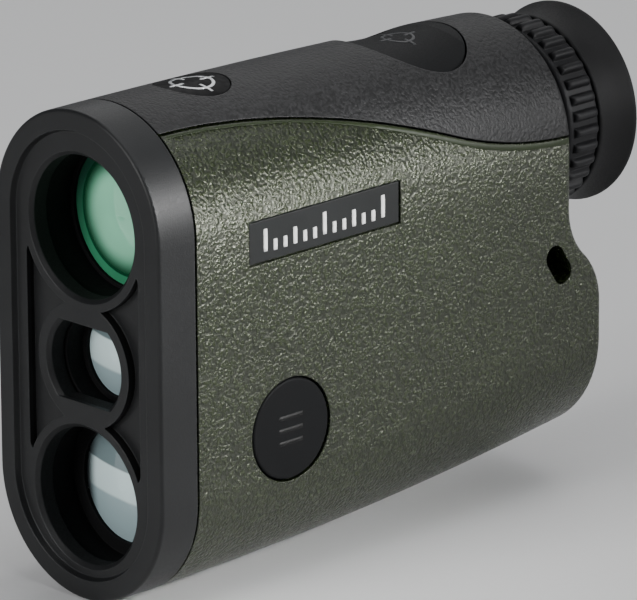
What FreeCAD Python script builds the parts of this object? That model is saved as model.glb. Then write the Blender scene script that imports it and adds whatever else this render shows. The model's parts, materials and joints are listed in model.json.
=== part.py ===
"""Handheld laser rangefinder, 99 mm long, as separate pieces in millimetres.

The body stands on the lowest point of its front bezel. +Z is up, the lenses look along -Y, the eyepiece points
along +Y, and the menu button is on the +X side. Stations along the body are measured back from the foot of the
bezel's raised rim, and every piece is then moved forward so that the origin is under the middle of the body.
"""
import FreeCAD, Part
import math
import os
import Sketcher

Vector = FreeCAD.Vector
DOC = FreeCAD.newDocument("Rangefinder")

# alias, value, what it is
SIZES = [
    # whole body
    ("rim_height", 0.7, "how far the bezel's rim stands in front of station zero"),
    ("cup_end", 98.8, "station of the rim of the eyecup"),
    ("half_width", 17.0, "half of the body's width, also the radius of its round top and bottom"),
    ("body_height", 72.6, "height at the front"),
    ("bottom_rise", 0.00075, "rise of the underside per square millimetre of station"),
    ("top_fall", 0.0003, "fall of the top per square millimetre of station"),
    ("wall", 1.8, "thickness of the covers and of the bezel's skirt"),
    ("loft_front", 4.0, "first station of the tapering form"),
    ("loft_middle", 46.0, "middle station of the tapering form"),
    ("loft_rear", 90.0, "last station of the tapering form"),
    ("margin", 4.0, "how far a cutting shape runs past what it cuts"),
    # bezel
    ("bezel_depth", 6.2, "station of the bezel's rear edge"),
    ("bezel_plate", 3.2, "station of the rear of the plate with the windows"),
    ("bezel_round", 0.55, "rounding of the rim's outer edge"),
    ("rim_inset", 3.0, "outside to the inner edge of the rim's face"),
    ("rim_draft", 0.42, "how far the rim's inner wall leans inwards per millimetre of depth"),
    ("field_depth", 0.25, "station of the field inside the rim"),
    ("pocket_depth", 1.6, "station of the floor of the two pockets beside the middle window"),
    ("pocket_reach", 11.6, "centre plane to the outer wall of a pocket"),
    ("pocket_end", 4.5, "window axis to the end of a pocket"),
    ("pocket_corner", 1.4, "rounding of a pocket's outer corners"),
    ("window_ring", 1.8, "width of the raised ring round the large windows"),
    ("middle_ring", 2.1, "width of the raised ring round the middle window"),
    ("window_bevel", 0.6, "bevel at the mouth of each window"),
    # window axes
    ("objective_z", 55.3, "height of the objective's axis"),
    ("emitter_z", 34.9, "height of the emitter's axis"),
    ("receiver_z", 15.2, "height of the receiver's axis"),
    ("objective_window", 10.5, "radius of the top window"),
    ("emitter_window", 7.3, "radius of the middle window"),
    ("receiver_window", 10.2, "radius of the bottom window"),
    ("emitter_flat_up", 6.0, "emitter axis to the upper flat of its window"),
    ("emitter_flat_down", 5.7, "emitter axis to the lower flat of its window"),
    # covers
    ("cover_start", 6.6, "first station of the covers"),
    ("lobe_station", 89.2, "station of the lobe's rear face"),
    ("lobe_top", 28.5, "height where the lobe's rear face starts to curve forward"),
    ("shoulder_station", 82.6, "station of the rear face round the eyepiece"),
    ("shoulder_foot", 44.0, "height where the curve meets the upper rear face"),
    ("rear_round", 1.0, "rounding of the covers' rear edges"),
    ("seam_front", 69.5, "height of the top cover's seam at the front"),
    ("seam_turn_station", 59.0, "station where the seam's two arcs meet"),
    ("seam_turn_height", 59.75, "height where the seam's two arcs meet"),
    ("seam_rear_station", 84.0, "station where the seam becomes level"),
    ("seam_rear", 55.2, "height of the seam at the rear"),
    ("seam_gap", 0.32, "gap between covers"),
    ("plate_front", 17.0, "front end of the name plate"),
    ("plate_rear", 46.7, "rear end of the name plate"),
    ("plate_low", 49.7, "lower edge of the name plate"),
    ("plate_high", 55.8, "upper edge of the name plate"),
    ("plate_thick", 0.5, "thickness of the name plate"),
    ("plate_recess", 0.7, "depth of the name plate's recess"),
    ("plate_gap", 0.25, "gap round the name plate"),
    ("slot_station", 79.9, "station of the lanyard slot's middle"),
    ("slot_height", 35.9, "height of the lanyard slot's middle"),
    ("slot_radius", 1.85, "half of the lanyard slot's width"),
    ("slot_half", 1.5, "slot's middle to the centre of a round end"),
    ("slot_tilt", -57.0, "slope of the lanyard slot, in degrees"),
    ("slot_wall", 1.0, "wall of the lanyard tunnel"),
    ("boss_radius", 2.2, "radius of a screw boss"),
    ("screw_low_station", 46.0, "station of the lower cover screw"),
    ("screw_low_z", 15.5, "height of the lower cover screw"),
    ("screw_high_station", 50.0, "station of the upper cover screw"),
    ("screw_high_z", 36.0, "height of the upper cover screw"),
    ("screw_radius", 0.9, "radius of a cover screw"),
    ("screw_head", 1.7, "radius of a cover screw's head"),
    ("screw_head_outside", 16.3, "centre plane to the outside of a screw head"),
    ("screw_head_inside", 15.1, "centre plane to the underside of a screw head"),
    ("screw_reach", 6.0, "how far a screw runs past the centre plane"),
    ("screw_play", 0.08, "clearance round a screw"),
    ("driver_radius", 0.75, "across the corners of the screw's socket, as a radius"),
    ("driver_depth", 0.7, "depth of the screw's socket"),
    # buttons and badge
    ("measure_station", 63.4, "station of the measure button's middle"),
    ("measure_half_x", 10.4, "half of the measure button's width"),
    ("measure_half_y", 9.2, "half of the measure button's length"),
    ("measure_deep", 2.75, "outer surface to the underside of the measure button"),
    ("measure_flange", 1.2, "width of the flange that keeps the measure button in"),
    ("measure_dish", 0.7, "depth of the finger dish"),
    ("dish_radius", 60.0, "radius of the finger dish along the body"),
    ("button_gap", 0.3, "gap round a button"),
    ("flange_gap", 0.3, "gap between a button's flange and its cover"),
    ("menu_station", 24.75, "station of the menu button"),
    ("menu_z", 23.6, "height of the menu button"),
    ("menu_radius", 7.5, "radius of the menu button"),
    ("menu_flange", 0.7, "width of the flange that keeps the menu button in"),
    ("menu_flange_thick", 0.7, "thickness of the menu button's flange"),
    ("menu_stem", 2.0, "radius of the menu button's stem"),
    ("menu_stem_end", 13.9, "centre plane to the end of the stem"),
    ("menu_edge", 0.4, "rounding of the menu button's rim"),
    ("badge_station", 22.0, "station of the badge"),
    ("badge_radius", 5.5, "radius of the badge"),
    ("badge_thick", 0.5, "thickness of the badge"),
    ("badge_recess", 0.6, "depth of the badge's recess"),
    ("badge_gap", 0.15, "gap round the badge"),
    # barrels
    ("barrel_start", 3.4, "front end of the three barrels"),
    ("fit_play", 0.05, "clearance of a piece in its seat"),
    ("objective_tube", 12.0, "outer radius of the objective barrel"),
    ("objective_bore", 11.0, "bore in front of the objective lens"),
    ("objective_stop", 10.5, "clear radius of the objective's shoulder"),
    ("objective_stop_front", 8.4, "front of the objective's shoulder"),
    ("objective_seat", 9.0, "station of the objective lens seat"),
    ("objective_end", 34.0, "rear end of the objective barrel"),
    ("emitter_tube", 7.6, "outer radius of the emitter barrel"),
    ("emitter_bore", 6.9, "bore in front of the emitter lens"),
    ("emitter_stop", 6.1, "clear radius of the emitter's shoulder"),
    ("emitter_stop_front", 6.5, "front of the emitter's shoulder"),
    ("emitter_seat", 7.1, "station of the emitter lens seat"),
    ("emitter_seat_radius", 6.6, "radius of the emitter lens seat"),
    ("emitter_end", 29.5, "rear end of the emitter barrel"),
    ("receiver_tube", 11.8, "outer radius of the receiver barrel"),
    ("receiver_bore", 10.8, "bore in front of the receiver lens"),
    ("receiver_stop", 8.8, "clear radius of the receiver's shoulder"),
    ("receiver_stop_front", 8.0, "front of the receiver's shoulder"),
    ("receiver_seat", 8.6, "station of the receiver lens seat"),
    ("receiver_seat_radius", 9.7, "radius of the receiver lens seat"),
    ("receiver_cone", 15.0, "station where the receiver barrel starts to narrow"),
    ("receiver_cone_end", 36.0, "station where the receiver barrel ends its cone"),
    ("receiver_end", 37.5, "rear end of the receiver barrel"),
    ("receiver_tail", 5.6, "outer radius of the receiver barrel's tail"),
    ("diode_radius", 2.8, "radius of the laser diode can"),
    ("diode_length", 2.6, "length of the laser diode can"),
    ("photodiode_radius", 4.0, "radius of the photodiode can"),
    ("photodiode_length", 3.0, "length of the photodiode can"),
    ("pin_radius", 0.22, "radius of a component pin"),
    ("pin_circle", 1.3, "radius of the circle of pins"),
    ("pin_length", 2.4, "length of a component pin"),
    # frame
    ("frame_inset", 2.3, "outer surface to the optical frame"),
    ("bulkhead_front", 7.2, "front of the frame's bulkhead"),
    ("bulkhead_rear", 9.2, "rear of the frame's bulkhead"),
    ("rail_inside", 12.5, "centre plane to the inside of a rail"),
    ("rail_outside", 14.7, "centre plane to the outside of a rail"),
    ("rail_low", 41.0, "underside of the rails and the shelf"),
    ("rail_high", 45.0, "top of the rails"),
    ("shelf_front", 36.0, "front of the shelf under the prisms"),
    ("shelf_rear", 70.0, "rear of the shelf under the prisms"),
    ("shelf_high", 42.8, "top of the shelf under the prisms"),
    ("hoop_front", 76.5, "front of the hoop that holds the eyepiece"),
    ("hoop_rear", 78.4, "rear of the hoop that holds the eyepiece"),
    # prisms
    ("housing_inset", 4.2, "outer surface to the prism housing"),
    ("housing_front", 38.0, "front of the prism housing"),
    ("housing_rear", 66.0, "rear of the prism housing"),
    ("housing_low", 43.1, "underside of the prism housing"),
    ("housing_high", 64.4, "top of the prism housing"),
    ("housing_half", 12.2, "half of the prism housing's width"),
    ("housing_wall", 1.5, "end walls of the prism housing"),
    ("chamber_half", 8.0, "half of the prism chamber's width"),
    ("chamber_low", 45.5, "floor of the prism chamber"),
    ("chamber_high", 62.8, "ceiling of the prism chamber"),
    ("light_radius", 7.0, "radius of the light path through the housing"),
    ("prism_half", 7.5, "half of a prism's width"),
    ("prism_low", 46.2, "lowest edge of the prisms"),
    ("prism_high", 62.0, "highest edge of the prisms"),
    ("prism_front", 40.5, "front face of the first prism"),
    ("prism_rear", 63.5, "rear face of the second prism"),
    ("prism_split_high", 47.4, "upper end of the gap between the prisms"),
    ("prism_split_low", 54.0, "lower end of the gap between the prisms"),
    ("prism_gap", 0.6, "air gap between the prisms"),
    ("prism_corner", 5.0, "size of the cut corner of each prism"),
    # display
    ("display_front", 70.6, "front of the display"),
    ("display_thick", 1.1, "thickness of the display glass"),
    ("display_half", 7.5, "half of the display's width"),
    ("display_frame_half", 8.6, "half of the display frame's width"),
    ("display_frame_thick", 3.0, "thickness of the display frame"),
    ("display_view", 6.4, "radius of the display frame's opening"),
    ("cable_thick", 0.3, "thickness of the display's flat cable"),
    ("cable_outside", 12.4, "centre plane to the outside of the flat cable"),
    ("cable_low", 37.0, "lower end of the flat cable"),
    ("cable_high", 47.0, "height of the flat cable's fold"),
    ("cable_width", 2.0, "width of the flat cable"),
    # eyepiece
    ("eye_z", 54.1, "height of the eyepiece's axis"),
    ("sleeve_start", 75.0, "front end of the eyepiece sleeve"),
    ("sleeve_flange_front", 78.5, "front of the sleeve's flange"),
    ("sleeve_flange_rear", 80.5, "rear of the sleeve's flange"),
    ("sleeve_flange", 14.0, "radius of the sleeve's flange"),
    ("neck_radius", 12.5, "radius of the neck between body and ring"),
    ("neck_end", 84.9, "rear end of the neck"),
    ("sleeve_radius", 12.0, "radius of the sleeve inside the diopter ring"),
    ("sleeve_end", 90.5, "rear end of the eyepiece sleeve"),
    ("sleeve_bore", 11.3, "bore of the eyepiece sleeve"),
    ("neck_gap", 0.2, "gap between the covers and the neck"),
    ("cell_radius", 11.24, "outer radius of the ocular cell"),
    ("cell_start", 78.5, "front end of the ocular cell"),
    ("cell_end", 89.4, "rear end of the ocular cell"),
    ("cell_bore", 10.1, "bore of the ocular cell"),
    ("cell_stop", 9.0, "clear radius at the front of the ocular cell"),
    ("cell_stop_thick", 1.0, "thickness of the ocular cell's front shoulder"),
    ("eye_lens_radius", 10.05, "radius of the ocular lenses"),
    ("field_lens_rear", 82.6, "rear edge of the field lens"),
    ("eye_lens_front", 84.6, "front edge of the eye lens"),
    ("eye_lens_rear", 87.6, "rear edge of the eye lens"),
    ("lens_bulge", 1.0, "height of the domes of the ocular lenses"),
    ("ocular_ring", 9.2, "clear radius of the spacer and the retainer"),
    ("ring_start", 85.3, "front end of the diopter ring"),
    ("ring_bore", 12.08, "bore of the diopter ring"),
    ("ring_radius", 13.9, "outer radius of the diopter ring between its ribs"),
    ("ring_end", 91.6, "rear end of the diopter ring"),
    ("ring_round", 0.7, "rounding of the diopter ring's front edge"),
    ("rib_start", 86.5, "front end of the ribs"),
    ("rib_length", 4.4, "length of the ribs"),
    ("rib_top", 14.85, "radius over the ribs"),
    ("rib_half", 0.72, "half of a rib's width"),
    ("rib_count", 36, "number of ribs"),
    ("cup_radius", 14.3, "outer radius at the front of the eyecup"),
    ("cup_rim", 15.2, "outer radius at the rim of the eyecup"),
    ("cup_floor", 93.6, "station of the eyecup's floor"),
    ("cup_hole", 9.6, "radius of the hole in the eyecup's floor"),
    ("cup_floor_radius", 11.0, "radius where the eyecup's floor meets its wall"),
    ("cup_lip", 0.8, "half of the thickness of the rounded lip"),
    ("cup_waist", 0.35, "depth of the eyecup's hollow flank"),
    # battery
    ("battery_z", 21.5, "height of the battery's axis"),
    ("battery_front", 56.3, "front end of the battery"),
    ("battery_length", 27.0, "length of the battery"),
    ("battery_radius", 7.8, "radius of the battery"),
    ("nub_radius", 3.2, "radius of the battery's contact nub"),
    ("nub_length", 1.1, "length of the battery's contact nub"),
    ("battery_edge", 0.6, "rounding of the battery's ends"),
    ("tube_radius", 9.2, "outer radius of the battery tube"),
    ("tube_bore", 8.1, "bore of the battery tube"),
    ("tube_front", 51.0, "front end of the battery tube"),
    ("tube_floor", 52.0, "inner floor of the battery tube"),
    ("tube_end", 86.4, "rear end of the battery tube"),
    ("spring_radius", 4.6, "radius of the battery spring's large end"),
    ("spring_tip", 2.6, "radius of the battery spring's small end"),
    ("spring_wire", 0.35, "radius of the spring's wire"),
    ("spring_turns", 3, "turns of the battery spring"),
    ("contact_radius", 5.0, "radius of the contact on the battery cap"),
    ("contact_thick", 0.4, "thickness of the contact on the battery cap"),
    ("plug_front", 83.9, "front end of the battery cap's plug"),
    ("plug_radius", 7.3, "radius of the battery cap's plug"),
    ("plug_neck", 6.9, "radius under the O-ring"),
    ("cap_front", 86.8, "front of the battery cap's head"),
    ("cap_rear", 89.4, "rear of the battery cap's head"),
    ("cap_radius", 9.5, "radius of the battery cap's head"),
    ("cap_gap", 0.3, "gap round the battery cap's head"),
    ("cap_edge", 0.5, "rounding of the battery cap's head"),
    ("coin_half", 0.9, "half of the width of the coin slot"),
    ("coin_reach", 6.5, "half of the length of the coin slot"),
    ("coin_depth", 1.3, "depth of the coin slot"),
    ("oring_wire", 0.56, "half of the O-ring's thickness"),
    # boards
    ("board_outside", 13.6, "centre plane to the outside of the main board"),
    ("board_thick", 1.0, "thickness of the main board"),
    ("board_front", 16.0, "front edge of the main board"),
    ("board_rear", 74.0, "rear edge of the main board"),
    ("board_low", 19.0, "lower edge of the main board"),
    ("board_high", 40.0, "upper edge of the main board"),
    ("chip_height", 1.2, "height of a chip on the main board"),
    ("small_board_thick", 0.8, "thickness of the button boards"),
    ("menu_board_inside", 11.9, "centre plane to the inside of the menu button's board"),
    ("menu_board_half", 6.4, "half of the menu board's side"),
    ("switch_half", 3.0, "half of a switch's side"),
    ("menu_switch_thick", 0.45, "thickness of the menu switch"),
    ("measure_board_low", 65.3, "underside of the measure button's board"),
    ("measure_board_half_x", 4.5, "half of the measure board's width"),
    ("measure_board_half_y", 7.0, "half of the measure board's length"),
    ("measure_switch_thick", 1.0, "thickness of the measure switch"),
    ("plunger_radius", 1.6, "radius of a switch's plunger"),
    ("plunger_length", 0.35, "height of the measure switch's plunger"),
]
VALUES = {alias: value for alias, value, meaning in SIZES}


class Size:
    """A number together with the sheet expression that gives it, so that sums of sizes stay bound to the sheet."""

    def __init__(self, value, text):
        self.value = float(value)
        self.text = text

    def __add__(self, other):
        other = size(other)
        return Size(self.value + other.value, f"({self.text} + {other.text})")

    def __sub__(self, other):
        other = size(other)
        return Size(self.value - other.value, f"({self.text} - {other.text})")

    def __mul__(self, other):
        other = size(other)
        return Size(self.value * other.value, f"({self.text} * {other.text})")

    def __truediv__(self, other):
        other = size(other)
        return Size(self.value / other.value, f"({self.text} / {other.text})")

    def __neg__(self):
        return Size(-self.value, f"(0 - {self.text})")


def size(thing):
    """The Size for a sheet alias or a plain number."""
    if isinstance(thing, Size):
        return thing
    if isinstance(thing, str):
        return Size(VALUES[thing], "Sizes." + thing)
    return Size(thing, repr(float(thing)))


def build_sheet():
    """The spreadsheet that drives every piece."""
    sheet = DOC.addObject("Spreadsheet::Sheet", "Sizes")
    for row, (alias, value, meaning) in enumerate(SIZES, start=1):
        sheet.set(f"A{row}", meaning)
        sheet.set(f"B{row}", str(value))
        sheet.setAlias(f"B{row}", alias)
    DOC.recompute()


def bind(thing, path, amount):
    """Binds a property of an object to a size."""
    thing.setExpression(path, size(amount).text)


STATIONS = {}


def place(thing, x, y, z, rotation=None):
    """Sets an object's rotation and binds its position."""
    thing.Placement = FreeCAD.Placement(Vector(0, 0, 0), rotation or FreeCAD.Rotation())
    STATIONS[thing.Name] = size(y)
    bind(thing, "Placement.Base.x", x)
    bind(thing, "Placement.Base.y", y)
    bind(thing, "Placement.Base.z", z)


# ---------------------------------------------------------------------------------------------------------------
# Outlines, prisms and turned pieces

# Each view: rotation of the drawing plane, and the direction in which its outlines are extruded.
VIEWS = {
    "front": (FreeCAD.Rotation(Vector(1, 0, 0), Vector(0, 0, 1), Vector(0, -1, 0)), Vector(0, 1, 0)),
    "side": (FreeCAD.Rotation(Vector(0, 1, 0), Vector(0, 0, 1), Vector(1, 0, 0)), Vector(1, 0, 0)),
    "top": (FreeCAD.Rotation(), Vector(0, 0, 1)),
}
ALONG_Y = FreeCAD.Rotation(Vector(1, 0, 0), -90)
ALONG_X = FreeCAD.Rotation(Vector(0, 1, 0), 90)


def arc_edge(start, end, radius):
    """A short arc from start to end. A positive radius turns left, a negative one turns right."""
    middle = (start + end) * 0.5
    half = (end - start).Length / 2
    left = Vector(0, 0, 1).cross(end - start).normalize()
    rise = math.sqrt(max(radius * radius - half * half, 0))
    centre = middle + left * math.copysign(rise, radius)
    first, last = (start, end) if radius > 0 else (end, start)
    angles = [math.atan2(p.y - centre.y, p.x - centre.x) for p in (first, last)]
    if angles[1] < angles[0]:
        angles[1] += 2 * math.pi
    return Part.ArcOfCircle(Part.Circle(centre, Vector(0, 0, 1), abs(radius)), *angles)


def outline(sketch, corners):
    """Draws a closed outline in a sketch and binds it to the sheet.

    A corner is (u, v), or (u, v, radius) where the edge that leads to it is an arc of that signed radius."""
    corners = [tuple(size(part) for part in corner) for corner in corners]
    points = [Vector(c[0].value, c[1].value, 0) for c in corners]
    ends = []
    for index, start in enumerate(points):
        target = (index + 1) % len(corners)
        corner = corners[target]
        if len(corner) == 2:
            sketch.addGeometry(Part.LineSegment(start, points[target]))
            ends.append((1, 2))
        else:
            sketch.addGeometry(arc_edge(start, points[target], corner[2].value))
            ends.append((1, 2) if corner[2].value > 0 else (2, 1))
            row = sketch.addConstraint(Sketcher.Constraint("Radius", index, abs(corner[2].value)))
            bind(sketch, f"Constraints[{row}]", corner[2] if corner[2].value > 0 else -corner[2])
    for index, (u, v) in enumerate([c[:2] for c in corners]):
        before = (index - 1) % len(corners)
        sketch.addConstraint(Sketcher.Constraint("Coincident", before, ends[before][1], index, ends[index][0]))
        for kind, amount in (("DistanceX", u), ("DistanceY", v)):
            row = sketch.addConstraint(Sketcher.Constraint(kind, -1, 1, index, ends[index][0], amount.value))
            bind(sketch, f"Constraints[{row}]", amount)


def drawing(name, view, corners, station=0):
    """A sketch in one of the views, at a station along that view's direction."""
    sketch = DOC.addObject("Sketcher::SketchObject", name)
    outline(sketch, corners)
    rotation, direction = VIEWS[view]
    station = size(station)
    place(sketch, *(station * part for part in direction), rotation)
    return sketch


def extruded(name, base, direction, low, high):
    """The solid that a closed wire sweeps from low to high along a direction."""
    solid = DOC.addObject("Part::Extrusion", name)
    solid.Base = base
    solid.DirMode = "Custom"
    solid.Dir = direction
    solid.Solid = True
    bind(solid, "LengthFwd", high)
    bind(solid, "LengthRev", -size(low))
    return solid


def prism(name, view, corners, low, high):
    """An outline in one of the views, extruded from low to high."""
    return extruded(name, drawing(name + "_outline", view, corners), VIEWS[view][1], low, high)


def box(name, x, y, z):
    """A box between the two bounds of each axis."""
    solid = DOC.addObject("Part::Box", name)
    for path, (low, high) in zip(("Length", "Width", "Height"), (x, y, z)):
        bind(solid, path, size(high) - low)
    place(solid, x[0], y[0], z[0])
    return solid


def cylinder(name, axis, radius, low, high, across, up):
    """A cylinder from low to high along an axis, through the point (across, up) of the other two axes."""
    solid = DOC.addObject("Part::Cylinder", name)
    bind(solid, "Radius", radius)
    bind(solid, "Height", size(high) - low)
    if axis == "X":
        place(solid, low, across, up, ALONG_X)
    elif axis == "Y":
        place(solid, across, low, up, ALONG_Y)
    else:
        place(solid, across, up, low)
    return solid


def cut(name, base, *tools):
    """base without the tools."""
    solid = DOC.addObject("Part::Cut", name)
    solid.Base = base
    solid.Tool = tools[0] if len(tools) == 1 else fuse(name + "_tools", *tools)
    return solid


def fuse(name, *parts):
    """The parts as one solid, or as a group of solids where they don't touch."""
    solid = DOC.addObject("Part::MultiFuse", name)
    solid.Shapes = list(parts)
    return solid


def common(name, first, second):
    """What two solids share."""
    solid = DOC.addObject("Part::Common", name)
    solid.Base = first
    solid.Tool = second
    return solid


PIECES = []


def body_middle():
    """The station of the middle of the body's length."""
    return (size("cup_end") - "rim_height") / 2


def piece(solid, label):
    """Names a finished piece and moves it so that the origin is under the middle of the body."""
    solid.Label = label
    station = STATIONS.get(solid.Name, size(0))
    bind(solid, "Placement.Base.y", station - body_middle())
    PIECES.append(solid)
    return solid


def plane(body, role):
    """One of a body's own origin planes or axes."""
    return next(feature for feature in body.Origin.OriginFeatures if feature.Role == role)


def turned(label, profile, centre_x=0, centre_y=0, centre_z=0, rotation=ALONG_Y):
    """A body turned about its own Z axis from a profile of (radius, distance along the axis) corners."""
    body = DOC.addObject("PartDesign::Body", label)
    sketch = body.newObject("Sketcher::SketchObject", label + "_profile")
    sketch.AttachmentSupport = (plane(body, "XZ_Plane"), [""])
    sketch.MapMode = "FlatFace"
    outline(sketch, profile)
    turn = body.newObject("PartDesign::Revolution", label + "_turn")
    turn.Profile = sketch
    turn.ReferenceAxis = (sketch, ["V_Axis"])
    turn.Angle = 360
    place(body, centre_x, size(centre_y) - body_middle(), centre_z, rotation)
    PIECES.append(body)
    return body


def tube(inside, outside, front, rear):
    """The profile of a plain ring."""
    return [(inside, front), (outside, front), (outside, rear), (inside, rear)]


def dome_radius(half, height):
    """The radius of a dome of a given half width and height."""
    half, height = size(half), size(height)
    return (half * half + height * height) / (height * 2)


# ---------------------------------------------------------------------------------------------------------------
# The tapering form that the covers and much of the inside follow


def stadium(half, bottom, top):
    """An outline with straight sides and fully round ends."""
    half, bottom, top = size(half), size(bottom), size(top)
    return [
        (half, bottom + half),
        (half, top - half),
        (0, top, half),
        (-half, top - half, half),
        (-half, bottom + half),
        (0, bottom, half),
        (half, bottom + half, half),
    ][1:]


def section(inset, station):
    """The body's stadium outline at a station, moved inwards by inset."""
    square = size(station) * station
    bottom = square * "bottom_rise" + inset
    top = size("body_height") - square * "top_fall" - inset
    return stadium(size("half_width") - inset, bottom, top)


def form(name, inset):
    """The body's tapering form, moved inwards by inset."""
    stations = ("loft_front", "loft_middle", "loft_rear")
    loft = DOC.addObject("Part::Loft", name)
    loft.Sections = [drawing(f"{name}_{s}", "front", section(inset, s), s) for s in stations]
    loft.Solid = True
    return loft


def rear_profile(inset, front):
    """Side view of the body behind the bezel: the lobe, the S-shaped step above it and the upper rear face."""
    inset = size(inset)
    lobe = size("lobe_station")
    step = (lobe - "shoulder_station") / 2
    rise = (size("shoulder_foot") - "lobe_top") / 2
    bend = (step * step + rise * rise) / (step * 2)
    convex = bend - inset
    return [
        (front, -size("margin")),
        (lobe - inset, -size("margin")),
        (lobe - inset, "lobe_top"),
        (lobe - bend + convex * (bend - step) / bend, size("lobe_top") + convex * rise / bend, convex),
        (size("shoulder_station") - inset, "shoulder_foot", -(bend + inset)),
        (size("shoulder_station") - inset, size("body_height") + "margin"),
        (front, size("body_height") + "margin"),
    ]


def seam_profile(shift, edge):
    """Side view of what lies below the top cover's seam, or above it, with the seam moved up by shift."""
    front, rear = size("seam_front") + shift, size("seam_rear") + shift
    run = size("seam_rear_station") - "seam_turn_station"
    drop = size("seam_turn_height") - "seam_rear"
    rear_bend = (run * run + drop * drop) / (drop * 2)
    run = size("seam_turn_station") - "cover_start"
    drop = size("seam_front") - "seam_turn_height"
    front_bend = (run * run + drop * drop) / (drop * 2)
    start, end = size("cover_start") - "margin", size("lobe_station") + "margin"
    return [
        (start, edge),
        (end, edge),
        (end, rear),
        ("seam_rear_station", rear),
        ("seam_turn_station", size("seam_turn_height") + shift, -rear_bend),
        ("cover_start", front, front_bend),
        (start, front),
    ]


def slot_profile(radius):
    """Side view of the sloping lanyard slot."""
    angle = math.radians(VALUES["slot_tilt"])
    along = (math.cos(angle), math.sin(angle))
    across = (-along[1], along[0])
    radius = size(radius)

    def corner(end, side, tip=0):
        reach = size("slot_half") * end + radius * tip
        return tuple(
            size(middle) + reach * along[k] + radius * across[k] * side
            for k, middle in enumerate(("slot_station", "slot_height"))
        )

    return [
        corner(-1, -1),
        corner(1, -1),
        (*corner(1, 0, 1), radius),
        (*corner(1, 1), radius),
        corner(-1, 1),
        (*corner(-1, 0, -1), radius),
        (*corner(-1, -1), radius),
    ][1:]


def rounded_rear(solid):
    """The covers' outer solid with its rear edges rounded."""
    DOC.recompute()
    radius = VALUES["rear_round"]
    limit = VALUES["shoulder_station"] - 0.05
    edges = []
    for number, edge in enumerate(solid.Shape.Edges, start=1):
        bounds = edge.BoundBox
        across_only = bounds.YLength < 1e-3 and bounds.ZLength < 1e-3
        if bounds.YMin > limit and not across_only:
            edges.append((number, radius, radius))
    fillet = DOC.addObject("Part::Fillet", "covers_rounded")
    fillet.Base = solid
    fillet.Edges = edges
    return fillet


def screw_places():
    """Station and height of each cover screw."""
    return [("screw_low_station", "screw_low_z"), ("screw_high_station", "screw_high_z")]


def build_covers():
    """Left, right and top cover: one hollow form with its tunnel, bosses and openings, divided at its seams."""
    outer = common("covers_outer", form("form_outer", 0), prism_across("covers_side", rear_profile(0, "cover_start")))
    inner_side = prism_across("cavity_side", rear_profile("wall", size("cover_start") - 1))
    cavity = common("cavity", form("form_inner", "wall"), inner_side)
    hollow = cut("covers_hollow", rounded_rear(outer), cavity)
    reach = size("half_width") - size("wall") / 2
    tunnel = prism("tunnel", "side", slot_profile(size("slot_radius") + "slot_wall"), -reach, reach)
    bosses = [
        cylinder(f"boss_{n}", "X", "boss_radius", -reach, reach, *spot) for n, spot in enumerate(screw_places())
    ]
    outside = size("half_width") + 1
    holes = [prism("slot", "side", slot_profile("slot_radius"), -outside, outside)]
    for n, spot in enumerate(screw_places()):
        play = size("screw_radius") + "screw_play"
        holes.append(cylinder(f"screw_hole_{n}", "X", play, -outside, "screw_reach", *spot))
        head = size("screw_head") + "screw_play"
        floor = size("fit_play") - "screw_head_inside"
        holes.append(cylinder(f"counterbore_{n}", "X", head, -outside, floor, *spot))
    neck = size("neck_radius") + "neck_gap"
    holes.append(cylinder("neck_hole", "Y", neck, "sleeve_flange_rear", "loft_rear", 0, "eye_z"))
    cap = size("cap_radius") + "cap_gap"
    holes.append(cylinder("cap_hole", "Y", cap, "tube_end", "loft_rear", 0, "battery_z"))
    shell = cut("shell", fuse("covers_full", hollow, tunnel, *bosses), *holes)

    gap = size("seam_gap") / 2
    below, above = -size("margin"), size("body_height") + "margin"
    left = prism("left_side", "side", seam_profile(-gap, below), gap, outside)
    menu = cylinder(
        "menu_hole", "X", size("menu_radius") + "button_gap", "menu_stem_end", outside, "menu_station", "menu_z"
    )
    recess = name_plate_box("plate_recess_box", "plate_recess", "plate_gap", outside)
    piece(cut("left", common("left_half", shell, left), menu, recess), "left_cover")

    right = prism("right_side", "side", seam_profile(-gap, below), -outside, -gap)
    piece(common("right", shell, right), "right_cover")

    top = prism("top_side", "side", seam_profile(gap, above), -outside, outside)
    opening = measure_column("measure_opening", "button_gap")
    badge = cut(
        "badge_recess_tool",
        badge_column("badge_hole", size("badge_radius") + "badge_gap"),
        form("form_badge_floor", "badge_recess"),
    )
    piece(cut("top", common("top_part", shell, top), opening, badge), "top_cover")


def prism_across(name, corners):
    """A side view extruded past both sides of the body."""
    outside = size("half_width") + 1
    return prism(name, "side", corners, -outside, outside)


def name_plate_box(name, depth, gap, outside):
    """The name plate's box, grown by a gap, from a depth below the left side outwards."""
    gap = size(gap)
    return box(
        name,
        (size("half_width") - depth, outside),
        (size("plate_front") - gap, size("plate_rear") + gap),
        (size("plate_low") - gap, size("plate_high") + gap),
    )


def measure_column(name, gap):
    """The measure button's oval, grown by a gap, as an upright column through the top."""
    oval = DOC.addObject("Part::Ellipse", name + "_oval")
    bind(oval, "MajorRadius", size("measure_half_x") + gap)
    bind(oval, "MinorRadius", size("measure_half_y") + gap)
    place(oval, 0, "measure_station", "seam_rear")
    return extruded(name, oval, Vector(0, 0, 1), 0, size("body_height") - "seam_rear" + "margin")


def badge_column(name, radius):
    """The badge's circle as an upright column through the top."""
    top = size("body_height") + "margin"
    return cylinder(name, "Z", radius, "seam_front", top, 0, "badge_station")


# ---------------------------------------------------------------------------------------------------------------
# Bezel, plates, buttons and screws


def inset_stadium(inset):
    """The bezel's outline, moved inwards by inset."""
    inset = size(inset)
    return stadium(size("half_width") - inset, inset, size("body_height") - inset)


def stadium_block(name, inset, front, rear):
    """A straight stadium block, moved inwards by inset from the bezel's outline."""
    return prism(name, "front", inset_stadium(inset), front, rear)


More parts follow.
